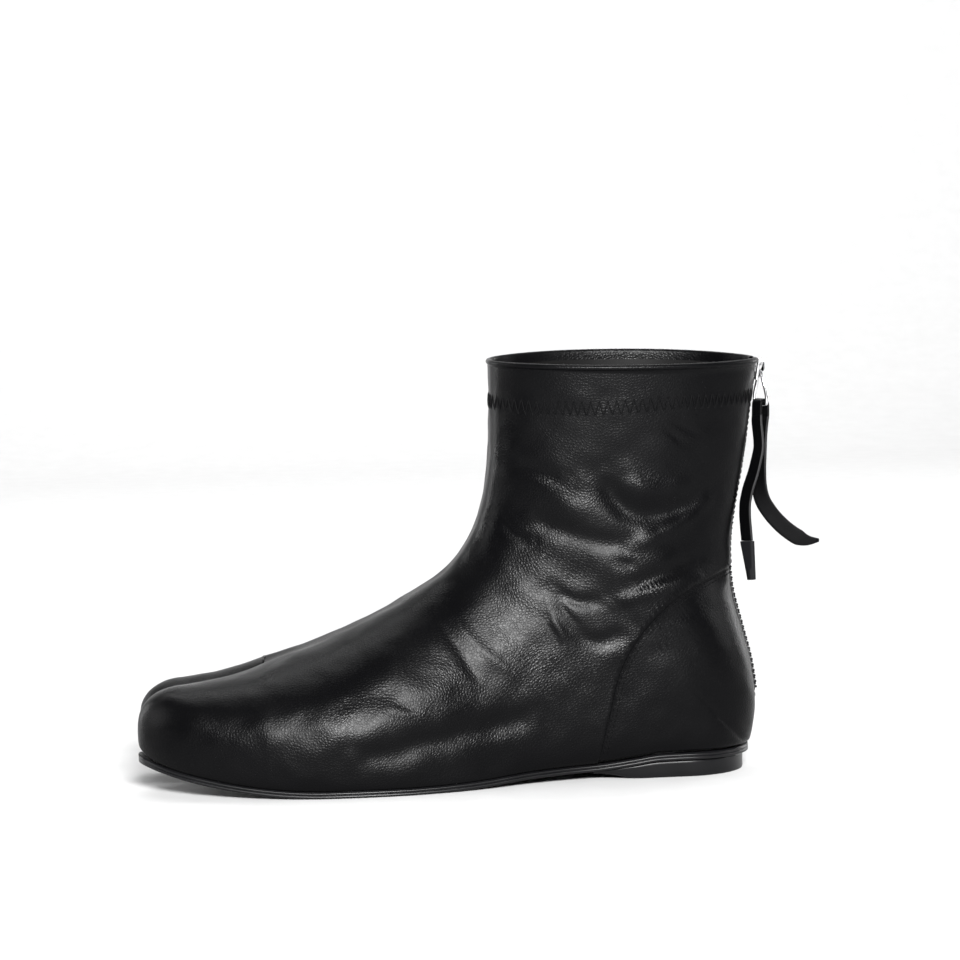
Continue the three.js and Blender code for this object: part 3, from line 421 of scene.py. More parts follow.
# top, level, foot, lateral, medial, widest, full, seam, crest, valley
FOOT_SECTIONS = [
    (1.645, 0.555, 1.645, 0.492, 0.48, 0.28, 2.3, 1, 9, 1.4),
    (1.571, 0.592, 1.571, 0.505, 0.487, 0.26, 2.15, 0.96, 8, 0.6),
    (1.485, 0.64, 1.485, 0.514, 0.488, 0.25, 2.05, 0.84, 7, 0.1),
    (1.392, 0.704, 1.392, 0.514, 0.474, 0.23, 1.98, 0.68, 6, 0),
    (1.299, 0.777, 1.275, 0.496, 0.432, 0.215, 1.95, 0.5, 5.5, 0),
    (1.213, 0.859, 1.14, 0.457, 0.378, 0.21, 1.95, 0.3, 5, 0),
    (1.143, 0.934, 1.0, 0.412, 0.343, 0.22, 1.98, 0.14, 5, 0),
]
TURN_SECTIONS = [
    (1.103, 1.0, 0.82, 0.58, 0.5, 0.25, 2.05, 0, 4.5, 0),
    (1.073, 1.08, 0.63, 0.549, 0.5, 0.28, 2.12, 0, 4.5, 0),
    (1.05, 1.16, 0.45, 0.528, 0.5, 0.32, 2.2, 0, 4, 0),
    (1.035, 1.233, 0.288, 0.516, 0.497, 0.35, 2.25, 0, 4, 0),
    (1.023, 1.307, 0.15, 0.511, 0.492, 0.36, 2.3, 0, 4, 0),
    (1.017, 1.368, 0.07, 0.508, 0.492, 0.37, 2.3, 0, 4, 0),
]
# top, level, foot, rise, lateral, medial, widest, full, round
BACK_SECTIONS = [
    (1.012, 1.43, 0.042, 0.022, 0.505, 0.489, 0.38, 2.3, 2.25),
    (1.008, 1.497, 0.024, 0.112, 0.502, 0.487, 0.4, 2.3, 2.2),
    (1.005, 1.564, 0.039, 0.212, 0.495, 0.484, 0.42, 2.3, 2.1),
    (1.003, 1.632, 0.072, 0.305, 0.485, 0.475, 0.44, 2.3, 2.0),
    (1.002, 1.7, 0.108, 0.411, 0.475, 0.469, 0.46, 2.25, 1.95),
    (1.001, 1.761, 0.114, 0.517, 0.472, 0.469, 0.48, 2.2, 2.0),
    (1.0, 1.822, 0.094, 0.623, 0.475, 0.472, 0.5, 2.2, 2.05),
    (1.0, 1.883, 0.062, 0.741, 0.485, 0.482, 0.5, 2.2, 2.1),
    (1.0, 1.945, 0.034, 0.872, 0.498, 0.495, 0.5, 2.2, 2.1),
    (1.0, 2.0, 0.006, 1.0, 0.508, 0.508, 0.5, 2.2, 2.1),
]
LATERAL, MEDIAL = -1, 1
TOES = {
    LATERAL: {"tip": 0.17, "levels": [0.555, 0.517, 0.493, 0.464]},
    MEDIAL: {"tip": 0.24, "levels": [0.555, 0.515, 0.477, 0.442]},
}
CREST_PLACES = [0, 0.2, 0.45, 1]


def along(station):
    if station < 1:
        return station * SHAFT_DEPTH
    return SHAFT_DEPTH + (station - 1) * (LENGTH - SHAFT_DEPTH)


def front_height(level):
    if level < 1:
        return level * INSTEP_HEIGHT
    return INSTEP_HEIGHT + (level - 1) * (BOOT_HEIGHT - INSTEP_HEIGHT)


def back_height(rise):
    return HEEL_HEIGHT + rise * (COLLAR_BACK - HEEL_HEIGHT)


def to_x(s):
    return HEEL_MIDDLE - s


arch_curve = smooth_curve(
    [along(station) for station, _ in ARCH],
    [rise * (HEEL_HEIGHT - SOLE_THICKNESS) for _, rise in ARCH],
)


def sole_bottom(s):
    if s < along(ARCH[-1][0]):
        return max(0, arch_curve(s))
    run = (s - along(BALL_FRONT)) / (LENGTH - along(BALL_FRONT))
    return TOE_SPRING * clamp(run, 0, 2) ** 1.9


def sole_top(s):
    return sole_bottom(s) + SOLE_THICKNESS


def feather_line(s):
    return sole_top(s) + CLEARANCE


outline_places = [along(row[0]) for row in HEEL_OUTLINE + FOREFOOT_OUTLINE]
outline = {
    side: smooth_curve(
        outline_places,
        [row[column] * HEEL_WIDTH for row in HEEL_OUTLINE]
        + [row[column] * BALL_WIDTH for row in FOREFOOT_OUTLINE],
    )
    for side, column in ((LATERAL, 1), (MEDIAL, 2))
}


def round_end(run, power):
    return (1 - clamp(run, 0, 1) ** power) ** (1 / power)


def feather_half(s, side, inset=0.0):
    run = 1 - (s - HEEL_BACK - inset) / (HEEL_ROUND - inset)
    return max(0, outline[side](s) - inset) * round_end(run, 2)


def foot_section(row, width):
    top, level, foot, lateral, medial, widest, full, seam, crest, valley = row
    s = along(foot)
    return {
        "top_s": along(top), "top_z": front_height(level), "foot_s": s,
        "foot_z": feather_line(s), "lateral": lateral * width, "medial": medial * width,
        "flat_lateral": feather_half(s, LATERAL), "flat_medial": feather_half(s, MEDIAL),
        "widest": widest, "full": full, "round": 2.25, "seam": seam * SPLIT_OFFSET,
        "crest": crest, "valley": valley, "under": 1,
    }


def back_section(row):
    top, level, foot, rise, lateral, medial, widest, full, roundness = row
    return {
        "top_s": along(top), "top_z": front_height(level), "foot_s": along(foot),
        "foot_z": back_height(rise), "lateral": lateral * SHAFT_WIDTH,
        "medial": medial * SHAFT_WIDTH, "flat_lateral": SLOT_WIDTH / 2,
        "flat_medial": SLOT_WIDTH / 2, "widest": widest, "full": full, "round": roundness,
        "seam": 0, "crest": 4, "valley": 0, "under": 0,
    }


sections = (
    [foot_section(row, BALL_WIDTH) for row in FOOT_SECTIONS]
    + [foot_section(row, SHAFT_WIDTH) for row in TURN_SECTIONS]
    + [back_section(row) for row in BACK_SECTIONS]
)
RIM = len(sections) - 1
FOOT_END = len(FOOT_SECTIONS) + len(TURN_SECTIONS) - 1
section_curves = {
    name: smooth_curve(list(range(RIM + 1)), [row[name] for row in sections])
    for name in sections[0]
}


def section_at(k, grow):
    at = {name: curve(k) for name, curve in section_curves.items()}
    if k <= FOOT_END:
        at["foot_z"] = feather_line(at["foot_s"])
        at["flat_lateral"] = feather_half(at["foot_s"], LATERAL)
        at["flat_medial"] = feather_half(at["foot_s"], MEDIAL)
    dx = at["foot_s"] - at["top_s"]
    dz = at["top_z"] - at["foot_z"]
    length = math.hypot(dx, dz)
    out_x, out_z = -dx / length, dz / length
    under = clamp(at["under"], 0, 1)
    shift = grow * max(0, 1 - k)
    at["top_s"] += grow * out_x + shift
    at["top_z"] += grow * out_z
    at["foot_s"] -= grow * out_x * (1 - under) - shift
    at["foot_z"] -= grow * out_z * (1 - under) + grow * under * 0.2
    for name in ("lateral", "medial"):
        at[name] += grow
        at["flat_" + name] = max(END_HALF, at["flat_" + name] + grow)
    return at


def rim_wave(at, y):
    reach = clamp((at["top_z"] - 0.83 * BOOT_HEIGHT) / (0.17 * BOOT_HEIGHT), 0, 1.2)
    return reach * reach * (2 * y / SHAFT_WIDTH) ** 2 * (-RIM_DIP if y < 0 else RIM_RISE)


# Columns of the fine mesh, as (kind, share)
CREST_COLUMNS = [("crest", (i / 10) ** 1.5) for i in range(11)]
UPPER_COLUMNS = [("upper", i / 70) for i in range(1, 71)]
LOWER_COLUMNS = [("lower", i / 34) for i in range(1, 35)]
COLUMNS = CREST_COLUMNS + UPPER_COLUMNS + LOWER_COLUMNS


def half_section(at, side, columns=COLUMNS):
    """Half a section from the seam over the side to the edge of the flat."""
    name = "lateral" if side == LATERAL else "medial"
    wide, flat = at[name], at["flat_" + name]
    height = math.hypot(at["top_s"] - at["foot_s"], at["top_z"] - at["foot_z"])
    crest = at["seam"] + side * at["crest"]
    out = []
    for kind, share in columns:
        a = share * math.pi / 2
        if kind == "crest":
            y = mix(at["seam"], crest, share)
            t = 1 - at["valley"] / height * math.cos(a)
        elif kind == "upper":
            y = mix(crest, side * wide, math.sin(a) ** (2 / at["full"]))
            t = mix(at["widest"], 1, max(0, math.cos(a)) ** (2 / at["full"]))
        else:
            y = side * mix(flat, wide, max(0, math.cos(a)) ** (2 / at["round"]))
            t = at["widest"] * (1 - math.sin(a) ** (2 / at["round"]))
        out.append((
            to_x(mix(at["foot_s"], at["top_s"], t)),
            y,
            mix(at["foot_z"], at["top_z"], t) + rim_wave(at, y),
        ))
    return out


toe_opening = smooth_curve([0, 0.12, 0.4, 1], [0, 0.62, 0.9, 1])


def toe_section(side, s, grow):
    toe = TOES[side]
    start, end = SPLIT_END + grow, LENGTH + grow
    run = clamp((s - start) / (end - start), 0, 1)
    plan = round_end((s - (end - PLAN_ROUND)) / PLAN_ROUND, 2.3)
    nose = round_end((s - (end - NOSE_ROUND)) / NOSE_ROUND, 2.2)
    tip_y = side * toe["tip"] * BALL_WIDTH
    name = "lateral" if side == LATERAL else "medial"
    bulge = mix(sections[0][name] - feather_half(SPLIT_END, side), 1.2, run)
    wall_y = SPLIT_OFFSET + side * (SPLIT_GAP / 2 * toe_opening(run) - grow * min(1, run * 12))
    level = smooth_curve(CREST_PLACES, toe["levels"])(run)
    flat_y = side * (feather_half(s, side) + grow)
    crest_y = mix(SPLIT_OFFSET + side * sections[0]["crest"], tip_y, min(1, run * 1.6))
    foot_z = feather_line(s) - grow * 0.2
    return {
        "s": s,
        "wall_y": mix(tip_y, wall_y, plan),
        "wide_y": mix(tip_y, flat_y + side * bulge, plan),
        "flat_y": mix(tip_y, flat_y, plan),
        "crest_y": mix(tip_y, crest_y, plan),
        "crest_z": mix(TIP_HEIGHT, front_height(level) + grow, nose),
        "foot_z": mix(TIP_HEIGHT, foot_z, nose ** 0.35),
        "shoulder": mix(sections[0]["valley"], SPLIT_ROUND, math.sqrt(run)) * nose,
        "widest": 0.3,
        "full": 2.3,
    }


def toe_outer(at, columns=COLUMNS):
    out = []
    wide_z = mix(at["foot_z"], at["crest_z"], at["widest"])
    for kind, share in columns:
        a = share * math.pi / 2
        if kind == "crest":
            y = mix(at["crest_y"], at["wall_y"], math.cos(a))
            z = at["crest_z"] - at["shoulder"] * (1 - math.sin(a))
        elif kind == "upper":
            y = mix(at["crest_y"], at["wide_y"], math.sin(a) ** (2 / at["full"]))
            z = mix(wide_z, at["crest_z"], max(0, math.cos(a)) ** (2 / at["full"]))
        else:
            y = mix(at["flat_y"], at["wide_y"], max(0, math.cos(a)) ** (2 / 2.25))
            z = mix(at["foot_z"], wide_z, 1 - math.sin(a) ** (2 / 2.25))
        out.append((to_x(at["s"]), y, z))
    return out


# Fine outer skin
def surface_normals(points, faces):
    normals = np.zeros_like(points)
    corners = np.array(faces)
    a, b, c = (points[corners[:, i]] for i in (0, 1, 2))
    face = np.cross(b - a, c - a)
    for i in range(corners.shape[1]):
        np.add.at(normals, corners[:, i], face)
    length = np.linalg.norm(normals, axis=1)
    return normals / np.maximum(length, 1e-9)[:, None]


def merged(points, faces, reach=1e-3):
    """Joins points that share a place, and drops faces that vanish."""
    keys = np.round(np.array(points) / reach).astype(np.int64)
    _, first, inverse = np.unique(keys, axis=0, return_index=True, return_inverse=True)
    inverse = inverse.reshape(-1)
    out = []
    for face in faces:
        new = []
        for i in (inverse[v] for v in face):
            if i not in new:
                new.append(i)
        if len(new) > 2:
            out.append(tuple(int(i) for i in new))
    return np.array(points)[first], out


def triangles_of(faces):
    out = []
    for face in faces:
        out += [(face[0], face[i], face[i + 1]) for i in range(1, len(face) - 1)]
    return out


def cut_along(points, faces, values, level, snap=0.06):
    """Splits triangles so that edges follow the line on which values is level."""
    points = [np.array(p, float) for p in points]
    values = list(values)
    for i, v in enumerate(values):
        if abs(v - level) < snap:
            values[i] = level
    made = {}

    def crossing(a, b):
        key = (min(a, b), max(a, b))
        if key not in made:
            t = (level - values[a]) / (values[b] - values[a])
            points.append(points[a] + (points[b] - points[a]) * t)
            values.append(level)
            made[key] = len(points) - 1
        return made[key]

    out = []
    for tri in faces:
        side = [0 if values[i] == level else (1 if values[i] > level else -1) for i in tri]
        if max(side) <= 0 or min(side) >= 0:
            out.append(tri)
            continue
        if 0 in side:
            z = side.index(0)
            a, b, c = tri[z], tri[(z + 1) % 3], tri[(z + 2) % 3]
            m = crossing(b, c)
            out += [(a, b, m), (a, m, c)]
            continue
        lone = next(i for i in range(3) if side.count(side[i]) == 1)
        a, b, c = tri[lone], tri[(lone + 1) % 3], tri[(lone + 2) % 3]
        m, n = crossing(a, b), crossing(a, c)
        out += [(a, m, n), (m, b, c), (m, c, n)]
    return points, out, values


def body_row(k, grow, columns=COLUMNS):
    at = section_at(k, grow)
    lateral = half_section(at, LATERAL, columns)
    medial = half_section(at, MEDIAL, columns)
    return lateral[::-1] + medial[1:]


def k_at_back_height(z):
    low, high = FOOT_END, RIM
    for _ in range(40):
        middle = (low + high) / 2
        low, high = (middle, high) if section_curves["foot_z"](middle) < z else (low, middle)
    return low


ZIP_K = k_at_back_height(ZIP_FOOT)
RIM_NEAR = RIM - 0.6
WALL_COLUMNS = 14
SKIN_ROWS = 280
TOE_ROWS = 56
LINING_ROWS = 110


def body_places(rows):
    """Rows of the skin, among them the one at the zip's foot."""
    places = list(np.linspace(0, RIM_NEAR, rows))
    nearest = min(range(rows), key=lambda i: abs(places[i] - ZIP_K))
    places[nearest] = ZIP_K
    return places


def rim_profile():
    """The turned edge of the collar, as (out, up) from the rim's outer edge."""
    radius = RIM_BEAD_HEIGHT / 2
    arc = [
        (-RIM_BEAD + radius * math.cos(a), -radius + radius * math.sin(a))
        for a in np.radians(np.linspace(-62, 178, 15))
    ]
    return arc + [(-WALL + 0.1, -3), (-WALL + 0.05, -5), (-WALL, -8)]


def make_skin_grid():
    places = body_places(SKIN_ROWS)
    grid = [body_row(k, 0) for k in places]
    top = np.array(body_row(RIM, 0))
    low = np.array(grid[-1])
    drop = (top[:, 2] - RIM_BEAD_HEIGHT + 0.1 - low[:, 2]) / (top[:, 2] - low[:, 2])
    for share in (0.34, 0.67, 1.0):
        grid.append([tuple(p) for p in low + (top - low) * (drop * share)[:, None]])
    ahead = np.roll(top, -1, axis=0) - np.roll(top, 1, axis=0)
    ahead[0], ahead[-1] = top[1] - top[0], top[-1] - top[-2]
    out = np.cross(ahead, (0, 0, 1))
    out /= np.linalg.norm(out, axis=1)[:, None]
    if out[len(out) // 2][0] > 0:
        out = -out
    for side, up in rim_profile():
        grid.append([tuple(p) for p in top + out * side + np.array([0, 0, up])])
    return places, grid


def mix_point(a, b, t):
    return tuple(mix(u, v, t) for u, v in zip(a, b))


def split_wall(low, high):
    """The split's wall from its foot up to, but without, its upper edge."""
    return [mix_point(low, high, t) for t in np.linspace(0, 1, WALL_COLUMNS + 1)][:-1]


def make_skin():
    """Outer leather from the toes to the collar, with the split and the zip's slot."""
    places, grid = make_skin_grid()
    columns = len(grid[0])
    parts = [([p for row in grid for p in row], grid_faces(len(grid), columns))]
    # below the zip the heel closes across the back
    rows = [grid[i] for i, k in enumerate(places) if FOOT_END - 0.02 <= k <= ZIP_K + 1e-6]
    tab = []
    for row in rows:
        a, b = np.array(row[-1]), np.array(row[0])
        tab += [tuple(a + (b - a) * t) for t in np.linspace(0, 1, 9)]
    parts.append((tab, grid_faces(len(rows), 9)))
    # the slot's edges turn in
    for column, toward in ((0, 1), (columns - 1, -1)):
        first = next(i for i, k in enumerate(places) if k >= ZIP_K - 1e-6)
        edge = []
        stop = len(grid) - len(rim_profile())
        for row in grid[first:stop]:
            p = np.array(row[column])
            inner = np.array([-1.0, 0, 0])
            for shift, deep in ((0, 0), (0.16, 0.25), (0.2, 0.9), (0.12, WALL)):
                edge.append(tuple(p + inner * deep + np.array([0, toward * shift, 0])))
        faces = grid_faces(stop - first, 4)
        parts.append((edge, faces if toward > 0 else [f[::-1] for f in faces]))
    # the two toes
    for side in (LATERAL, MEDIAL):
        half = half_section(section_at(0, 0), side)
        foot = (half[0][0], half[0][1], feather_line(SPLIT_END))
        rows = [split_wall(foot, half[0]) + half]
        for i in range(TOE_ROWS):
            a = (i + 1) / (TOE_ROWS + 0.25) * math.pi / 2
            s = mix(SPLIT_END, LENGTH, math.sin(a) ** 0.9)
            outer = toe_outer(toe_section(side, s, 0))
            low = (outer[0][0], outer[0][1], outer[-1][2])
            rows.append(split_wall(low, outer[0]) + outer)
        width = len(rows[0])
        points = [p for row in rows for p in row]
        faces = grid_faces(len(rows), width)
        nose = (to_x(LENGTH), side * TOES[side]["tip"] * BALL_WIDTH, TIP_HEIGHT)
        points.append(nose)
        last = (len(rows) - 1) * width
        faces += [(last + i, last + i + 1, len(points) - 1) for i in range(width - 1)]
        parts.append((points, faces))
    points, faces = merged(*join(parts))
    return points, triangles_of(faces)


# Front edge of the heel panel in the side view: station, level
COUNTER = [
    (0.67, 0.0), (0.65, 0.09), (0.622, 0.24), (0.6, 0.34), (0.582, 0.43), (0.555, 0.525),
    (0.51, 0.62), (0.45, 0.71), (0.385, 0.785), (0.3, 0.855), (0.2, 0.905), (0.09, 0.943),
    (-0.1, 0.99),
]
counter_line = smooth_path([(to_x(along(s)), front_height(z)) for s, z in COUNTER], 160)


def distance_to_line(xz, line):
    """Distance to a polyline, signed: positive on its right as it is walked."""
    best = np.full(len(xz), 1e9)
    sign = np.ones(len(xz))
    for a, b in zip(line[:-1], line[1:]):
        d = b - a
        t = np.clip(((xz - a) @ d) / (d @ d), 0, 1)
        off = xz - (a + t[:, None] * d)
        r = np.hypot(off[:, 0], off[:, 1])
        nearer = r < best
        best[nearer] = r[nearer]
        turn = d[0] * off[:, 1] - d[1] * off[:, 0]
        sign[nearer] = np.where(turn[nearer] < 0, 1, -1)
    return best * sign


# Folds of the soft leather on the little-toe side, in the side view: path (x, z),
# half width, and height of the ridge or, below 0, depth of the trough
OUTER_FOLDS = [
    ([(-35, 126.5), (-31.5, 117), (-23, 109.5), (-8.5, 110), (7.5, 115)], 4.6, 1.15),
    ([(-27, 126), (-20, 120), (-8.5, 118.5), (4, 122)], 4.4, -0.7),
    ([(-67, 110), (-49.5, 102.5), (-27.5, 96.5), (-15.5, 99)], 4.2, 0.65),
    ([(-60, 117), (-45, 111), (-36, 106)], 5, -0.35),
    ([(-28.5, 94.5), (-8.5, 103), (12, 115.5)], 3, -0.75),
    ([(-25, 80), (-14.5, 83.5), (2, 88.5)], 3.2, 0.8),
    ([(-32, 73.5), (-14.5, 79), (5.5, 85)], 2.2, -0.45),
    ([(-31, 90), (-22.5, 88.5)], 1.8, 0.35),
    ([(-50.5, 61), (-38, 58), (-25.5, 63)], 3.4, 0.55),
    ([(-57.5, 80), (-47, 74.5), (-36, 75)], 2.6, 0.45),
    ([(-59.5, 69.5), (-51, 57)], 2.2, -0.45),
    ([(-56, 75), (-47, 64)], 1.8, 0.3),
    ([(-10, 143.5), (-3, 138)], 1.4, 0.3),
    ([(-6.5, 145), (3.5, 141.5)], 1.2, 0.22),
    ([(-72.5, 130.5), (-60, 127), (-51.5, 125)], 3.2, 0.4),
    ([(-78, 110), (-71.5, 102), (-64.5, 99)], 2.2, 0.35),
    ([(-16.5, 64), (-1.5, 68)], 1.5, 0.28),
    ([(-15, 58.5), (-3, 61.5)], 1.4, 0.25),
    ([(-18.5, 52.5), (1, 56)], 1.8, 0.22),
    ([(-142, 17), (-126, 18), (-110, 21.5), (-87, 25.5), (-64.5, 29)], 5, 0.8),
    ([(-125.5, 36), (-116.5, 32.5)], 1, -0.25),
    ([(-105, 70.5), (-97.5, 58.5), (-87.5, 42.5)], 2.2, 0.22),
    ([(-99, 72.5), (-90.5, 60.5), (-75, 46.5)], 2, -0.2),
    ([(-62.5, 72), (-55, 59)], 2, 0.22),
    ([(-141, 41), (-125, 39), (-112, 34)], 5, 0.3),
]
# The big-toe side creases in the same places, but less
INNER_FOLDS = [
    ([(-40, 122), (-28, 114), (-12, 111), (4, 116)], 4.8, 0.9),
    ([(-30, 127), (-16, 121), (0, 123)], 4.2, -0.55),
    ([(-64, 106), (-46, 99), (-28, 96)], 4, 0.55),
    ([(-32, 88), (-14, 94), (8, 104)], 3, -0.6),
    ([(-34, 78), (-18, 80), (-2, 86)], 3, 0.65),
    ([(-60, 76), (-48, 68), (-38, 66)], 2.4, 0.4),
    ([(-57, 66), (-48, 55)], 2.2, -0.4),
    ([(-76, 112), (-68, 103)], 2, 0.3),
    ([(-120, 22), (-100, 24), (-76, 29)], 5, 0.5),
    ([(-104, 64), (-92, 50), (-84, 42)], 2.4, 0.25),
]
FOLD_DEPTH = 1.6  # how much deeper the folds are than in the tables
# Waves of the uneven leather: length along x, y and z, and height
WAVES = [(47, 71, 31, 0.14), (23, 37, 41, 0.1), (13, 29, 19, 0.06), (31, 17, 11, 0.05)]


def fold_lift(points):
    lift = np.zeros(len(points))
    xz = points[:, (0, 2)]
    for side, folds in ((LATERAL, OUTER_FOLDS), (MEDIAL, INNER_FOLDS)):
        here = points[:, 1] * side > 0
        spot = xz[here]
        part = np.zeros(len(spot))
        for path, width, height in folds:
            line = smooth_path(path, 18)
            near = np.abs(distance_to_line(spot, line))
            tip = np.minimum(
                np.linalg.norm(spot - line[0], axis=1), np.linalg.norm(spot - line[-1], axis=1),
            )
            ease = 1 - 0.75 * np.exp(-(tip / (1.3 * width)) ** 2)
            part += height * ease * np.exp(-(near / width) ** 2)
        lift[here] = FOLD_DEPTH * part * np.clip(np.abs(points[here, 1]) / 14, 0, 1)
    for along_x, along_y, along_z, height in WAVES:
        phase = points / np.array([along_x, along_y, along_z]) * 2 * math.pi
        lift += height * np.sin(phase[:, 0] + 1.7 * np.sin(phase[:, 1])) * np.sin(phase[:, 2])
    keep = np.clip((points[:, 2] - sole_clear(points[:, 0])) / 6, 0, 1)
    keep *= np.clip((BOOT_HEIGHT - 6 - points[:, 2]) / 8, 0, 1)
    keep *= np.clip((to_x(0) - points[:, 0]) / 10, 0, 1) ** 0.5
    return lift * keep


SOLE_STATIONS = list(np.linspace(LENGTH, 0, 60))


def sole_clear(x):
    return np.interp(x, [to_x(s) for s in SOLE_STATIONS], [feather_line(s) for s in SOLE_STATIONS])


FAR = 50  # stands for a place that a line doesn't reach
COUNTER_DENT = 0.18  # the leather pulled in along the heel panel's edge
SEAM_RIDGE = 0.28  # the front seam's allowance under the leather
SEAM_DEPTH = 0.45


def dress_skin(points, faces):
    points = np.array(points)
    values = distance_to_line(points[:, (0, 2)], counter_line)
    values[points[:, 0] < to_x(along(0.75))] = -FAR
    for level in (0.0, 0.14, 0.5):
        points, faces, values = cut_along(points, faces, values, level)
    points, values = np.array(points), np.array(values)
    normals = surface_normals(points, faces)
    rise = np.clip(values / 0.5, 0, 1)
    lift = COUNTER_STEP * np.sqrt(1 - (1 - rise) ** 2)
    lift -= np.where(values < 0, COUNTER_DENT * np.exp(-(values / 1.1) ** 2), 0)
    front = (points[:, 0] > to_x(SPLIT_END) - 1) & (normals[:, 2] - normals[:, 0] > 0.3)
    stations = HEEL_MIDDLE - points[:, 0]
    seam_y = np.interp(
        stations,
        [section["top_s"] for section in sections[::-1]],
        [section["seam"] for section in sections[::-1]],
    )
    off = np.abs(points[:, 1] - seam_y)
    off[~front] = FAR
    lift += SEAM_RIDGE * np.exp(-((off - 1.5) / 0.9) ** 2)
    lift -= SEAM_DEPTH * np.exp(-(off / 0.4) ** 2)
    lift += fold_lift(points)
    points = points + normals * lift[:, None]
    return points, faces


skin_points, skin_faces = dress_skin(*make_skin())
upper = add_mesh("upper_leather", skin_points, skin_faces, BOOT_LEATHER)
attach(upper, "root")
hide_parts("upper")
skin_tree = BVHTree.FromPolygons([tuple(p) for p in skin_points], skin_faces)


# Stitches
def on_skin(start, way):
    """Where a straight look from a place meets the leather, and the leather's normal there."""
    place, normal, _, _ = skin_tree.ray_cast(Vector(start), Vector(way))
    if place is None:
        return None
    normal = np.array(normal)
    return np.array(place), normal if normal @ np.array(way) < 0 else -normal


def from_side(line, side):
    """Points of a side view line on the leather of one side."""
    hits = [on_skin((x, side * 90, z), (0, -side, 0)) for x, z in line]
    return [hit for hit in hits if hit]


def offset_line(line, shift):
    """A line of the side view moved sideways."""
    line = np.array(line)
    ahead = np.gradient(line, axis=0)
    ahead /= np.linalg.norm(ahead, axis=1)[:, None]
    return line + np.stack([ahead[:, 1], -ahead[:, 0]], 1) * shift


def stitch(a, b, normal, radius, sink):
    """One stitch: a short strand that dips into the leather at both ends."""
    rows = 7
    ring = circle_section(radius, 6)
    points = []
    for t in np.linspace(0, 1, rows):
        arch = math.sin(math.pi * t) ** 0.5
        points.append(a + (b - a) * t + normal * (radius * (1.5 * arch - 0.9) - sink))
    return sweep(points, [normal] * rows, ring)


def stitch_row(hits, length, gap, radius):
    """Even stitches along points of the leather."""
    places = np.array([place for place, _ in hits])
    normals = np.array([normal for _, normal in hits])
    reach = np.concatenate([[0], np.cumsum(np.linalg.norm(np.diff(places, axis=0), axis=1))])

    def at(d, values):
        return np.array([np.interp(d, reach, values[:, i]) for i in range(3)])

    count = int(reach[-1] // (length + gap))
    step = reach[-1] / count
    out = []
    for i in range(count):
        a, b = i * step + gap / 2, (i + 1) * step - gap / 2
        out.append(stitch(at(a, places), at(b, places), at((a + b) / 2, normals), radius, 0))
    return out


ZIGZAG_DROP = 15.2
ZIGZAG_RADIUS = 0.27
ZIGZAG_SAG = 2.5  # how much lower it lies in the middle of each side
ZIGZAG_HEIGHT = 6.3
ZIGZAG_PITCH = 3.5


def zigzag():
    """The overlock seam around the collar, level with its rim."""
    columns = CREST_COLUMNS[::2] + UPPER_COLUMNS + LOWER_COLUMNS
    rim = smooth_path(body_row(RIM, 3, columns), 900)
    reach = np.concatenate([[0], np.cumsum(np.linalg.norm(np.diff(rim, axis=0), axis=1))])
    count = int(reach[-1] / (ZIGZAG_PITCH / 2))
    out, last = [], None
    for i in range(count + 1):
        d = reach[-1] * i / count
        place = np.array([np.interp(d, reach, rim[:, j]) for j in range(3)])
        centre = np.array([clamp(place[0], -45, -2), 0, place[2]])
        way = centre - place
        way /= np.linalg.norm(way)
        sag = ZIGZAG_SAG * math.sin(math.pi * clamp(-place[0] / SHAFT_DEPTH, 0, 1))
        low = -ZIGZAG_DROP - sag + ZIGZAG_HEIGHT / 2 * (1 if i % 2 else -1)
        hit = on_skin(tuple(place + [0, 0, low] - way * 4), tuple(way))
        if hit and last:
            normal = (last[1] + hit[1]) / 2
            out.append(stitch(last[0], hit[0], normal, ZIGZAG_RADIUS, -0.02))
        last = hit
    return out


def back_line(side, off):
    heights = np.linspace(ZIP_FOOT - 3, BOOT_HEIGHT - 8, 240)
    hits = [on_skin((80, side * off, z), (-1, 0, 0)) for z in heights]
    return [hit for hit in hits if hit]


STITCH_RADIUS = 0.22
COUNTER_ROWS = (1.4, 2.9)  # distances of the heel panel's two rows from its edge
BACK_ROW = 1.7  # distance of the row beside the zip from its slot


def make_stitches():
    out = zigzag()
    low, high = 14, len(counter_line) - 22  # leaves out what lies under the sole and the zip
    for side in (LATERAL, MEDIAL):
        for shift in COUNTER_ROWS:
            line = offset_line(counter_line, shift)[low:high]
            out += stitch_row(from_side(line, side), 1.7, 0.55, STITCH_RADIUS)
        line = back_line(side, SLOT_WIDTH / 2 + BACK_ROW)
        out += stitch_row(line, 1.9, 0.6, STITCH_RADIUS)
    return out


stitches = add_mesh("stitches", *join(make_stitches()), THREAD)
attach(stitches, "root")


# Lining
def make_lining():
    columns = CREST_COLUMNS[::5] + UPPER_COLUMNS[4::5] + LOWER_COLUMNS[3::5]
    inset = -WALL - 0.15
    places = list(np.linspace(0, RIM_NEAR, LINING_ROWS))
    grid = [body_row(k, inset, columns) for k in places]
    top = [tuple(np.array(p) - np.array([0, 0, 4])) for p in body_row(RIM, inset, columns)]
    grid[-1] = top
    parts = [([p for row in grid for p in row], grid_faces(len(grid), len(top)))]
    rows = [row for row, k in zip(grid, places) if FOOT_END - 0.02 <= k <= ZIP_K + 0.1]
    tab = [mix_point(row[-1], row[0], t) for row in rows for t in (0, 0.5, 1)]
    parts.append((tab, grid_faces(len(rows), 3)))
    return join(parts)


lining = add_mesh("lining", *make_lining(), LINING)
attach(lining, "root")


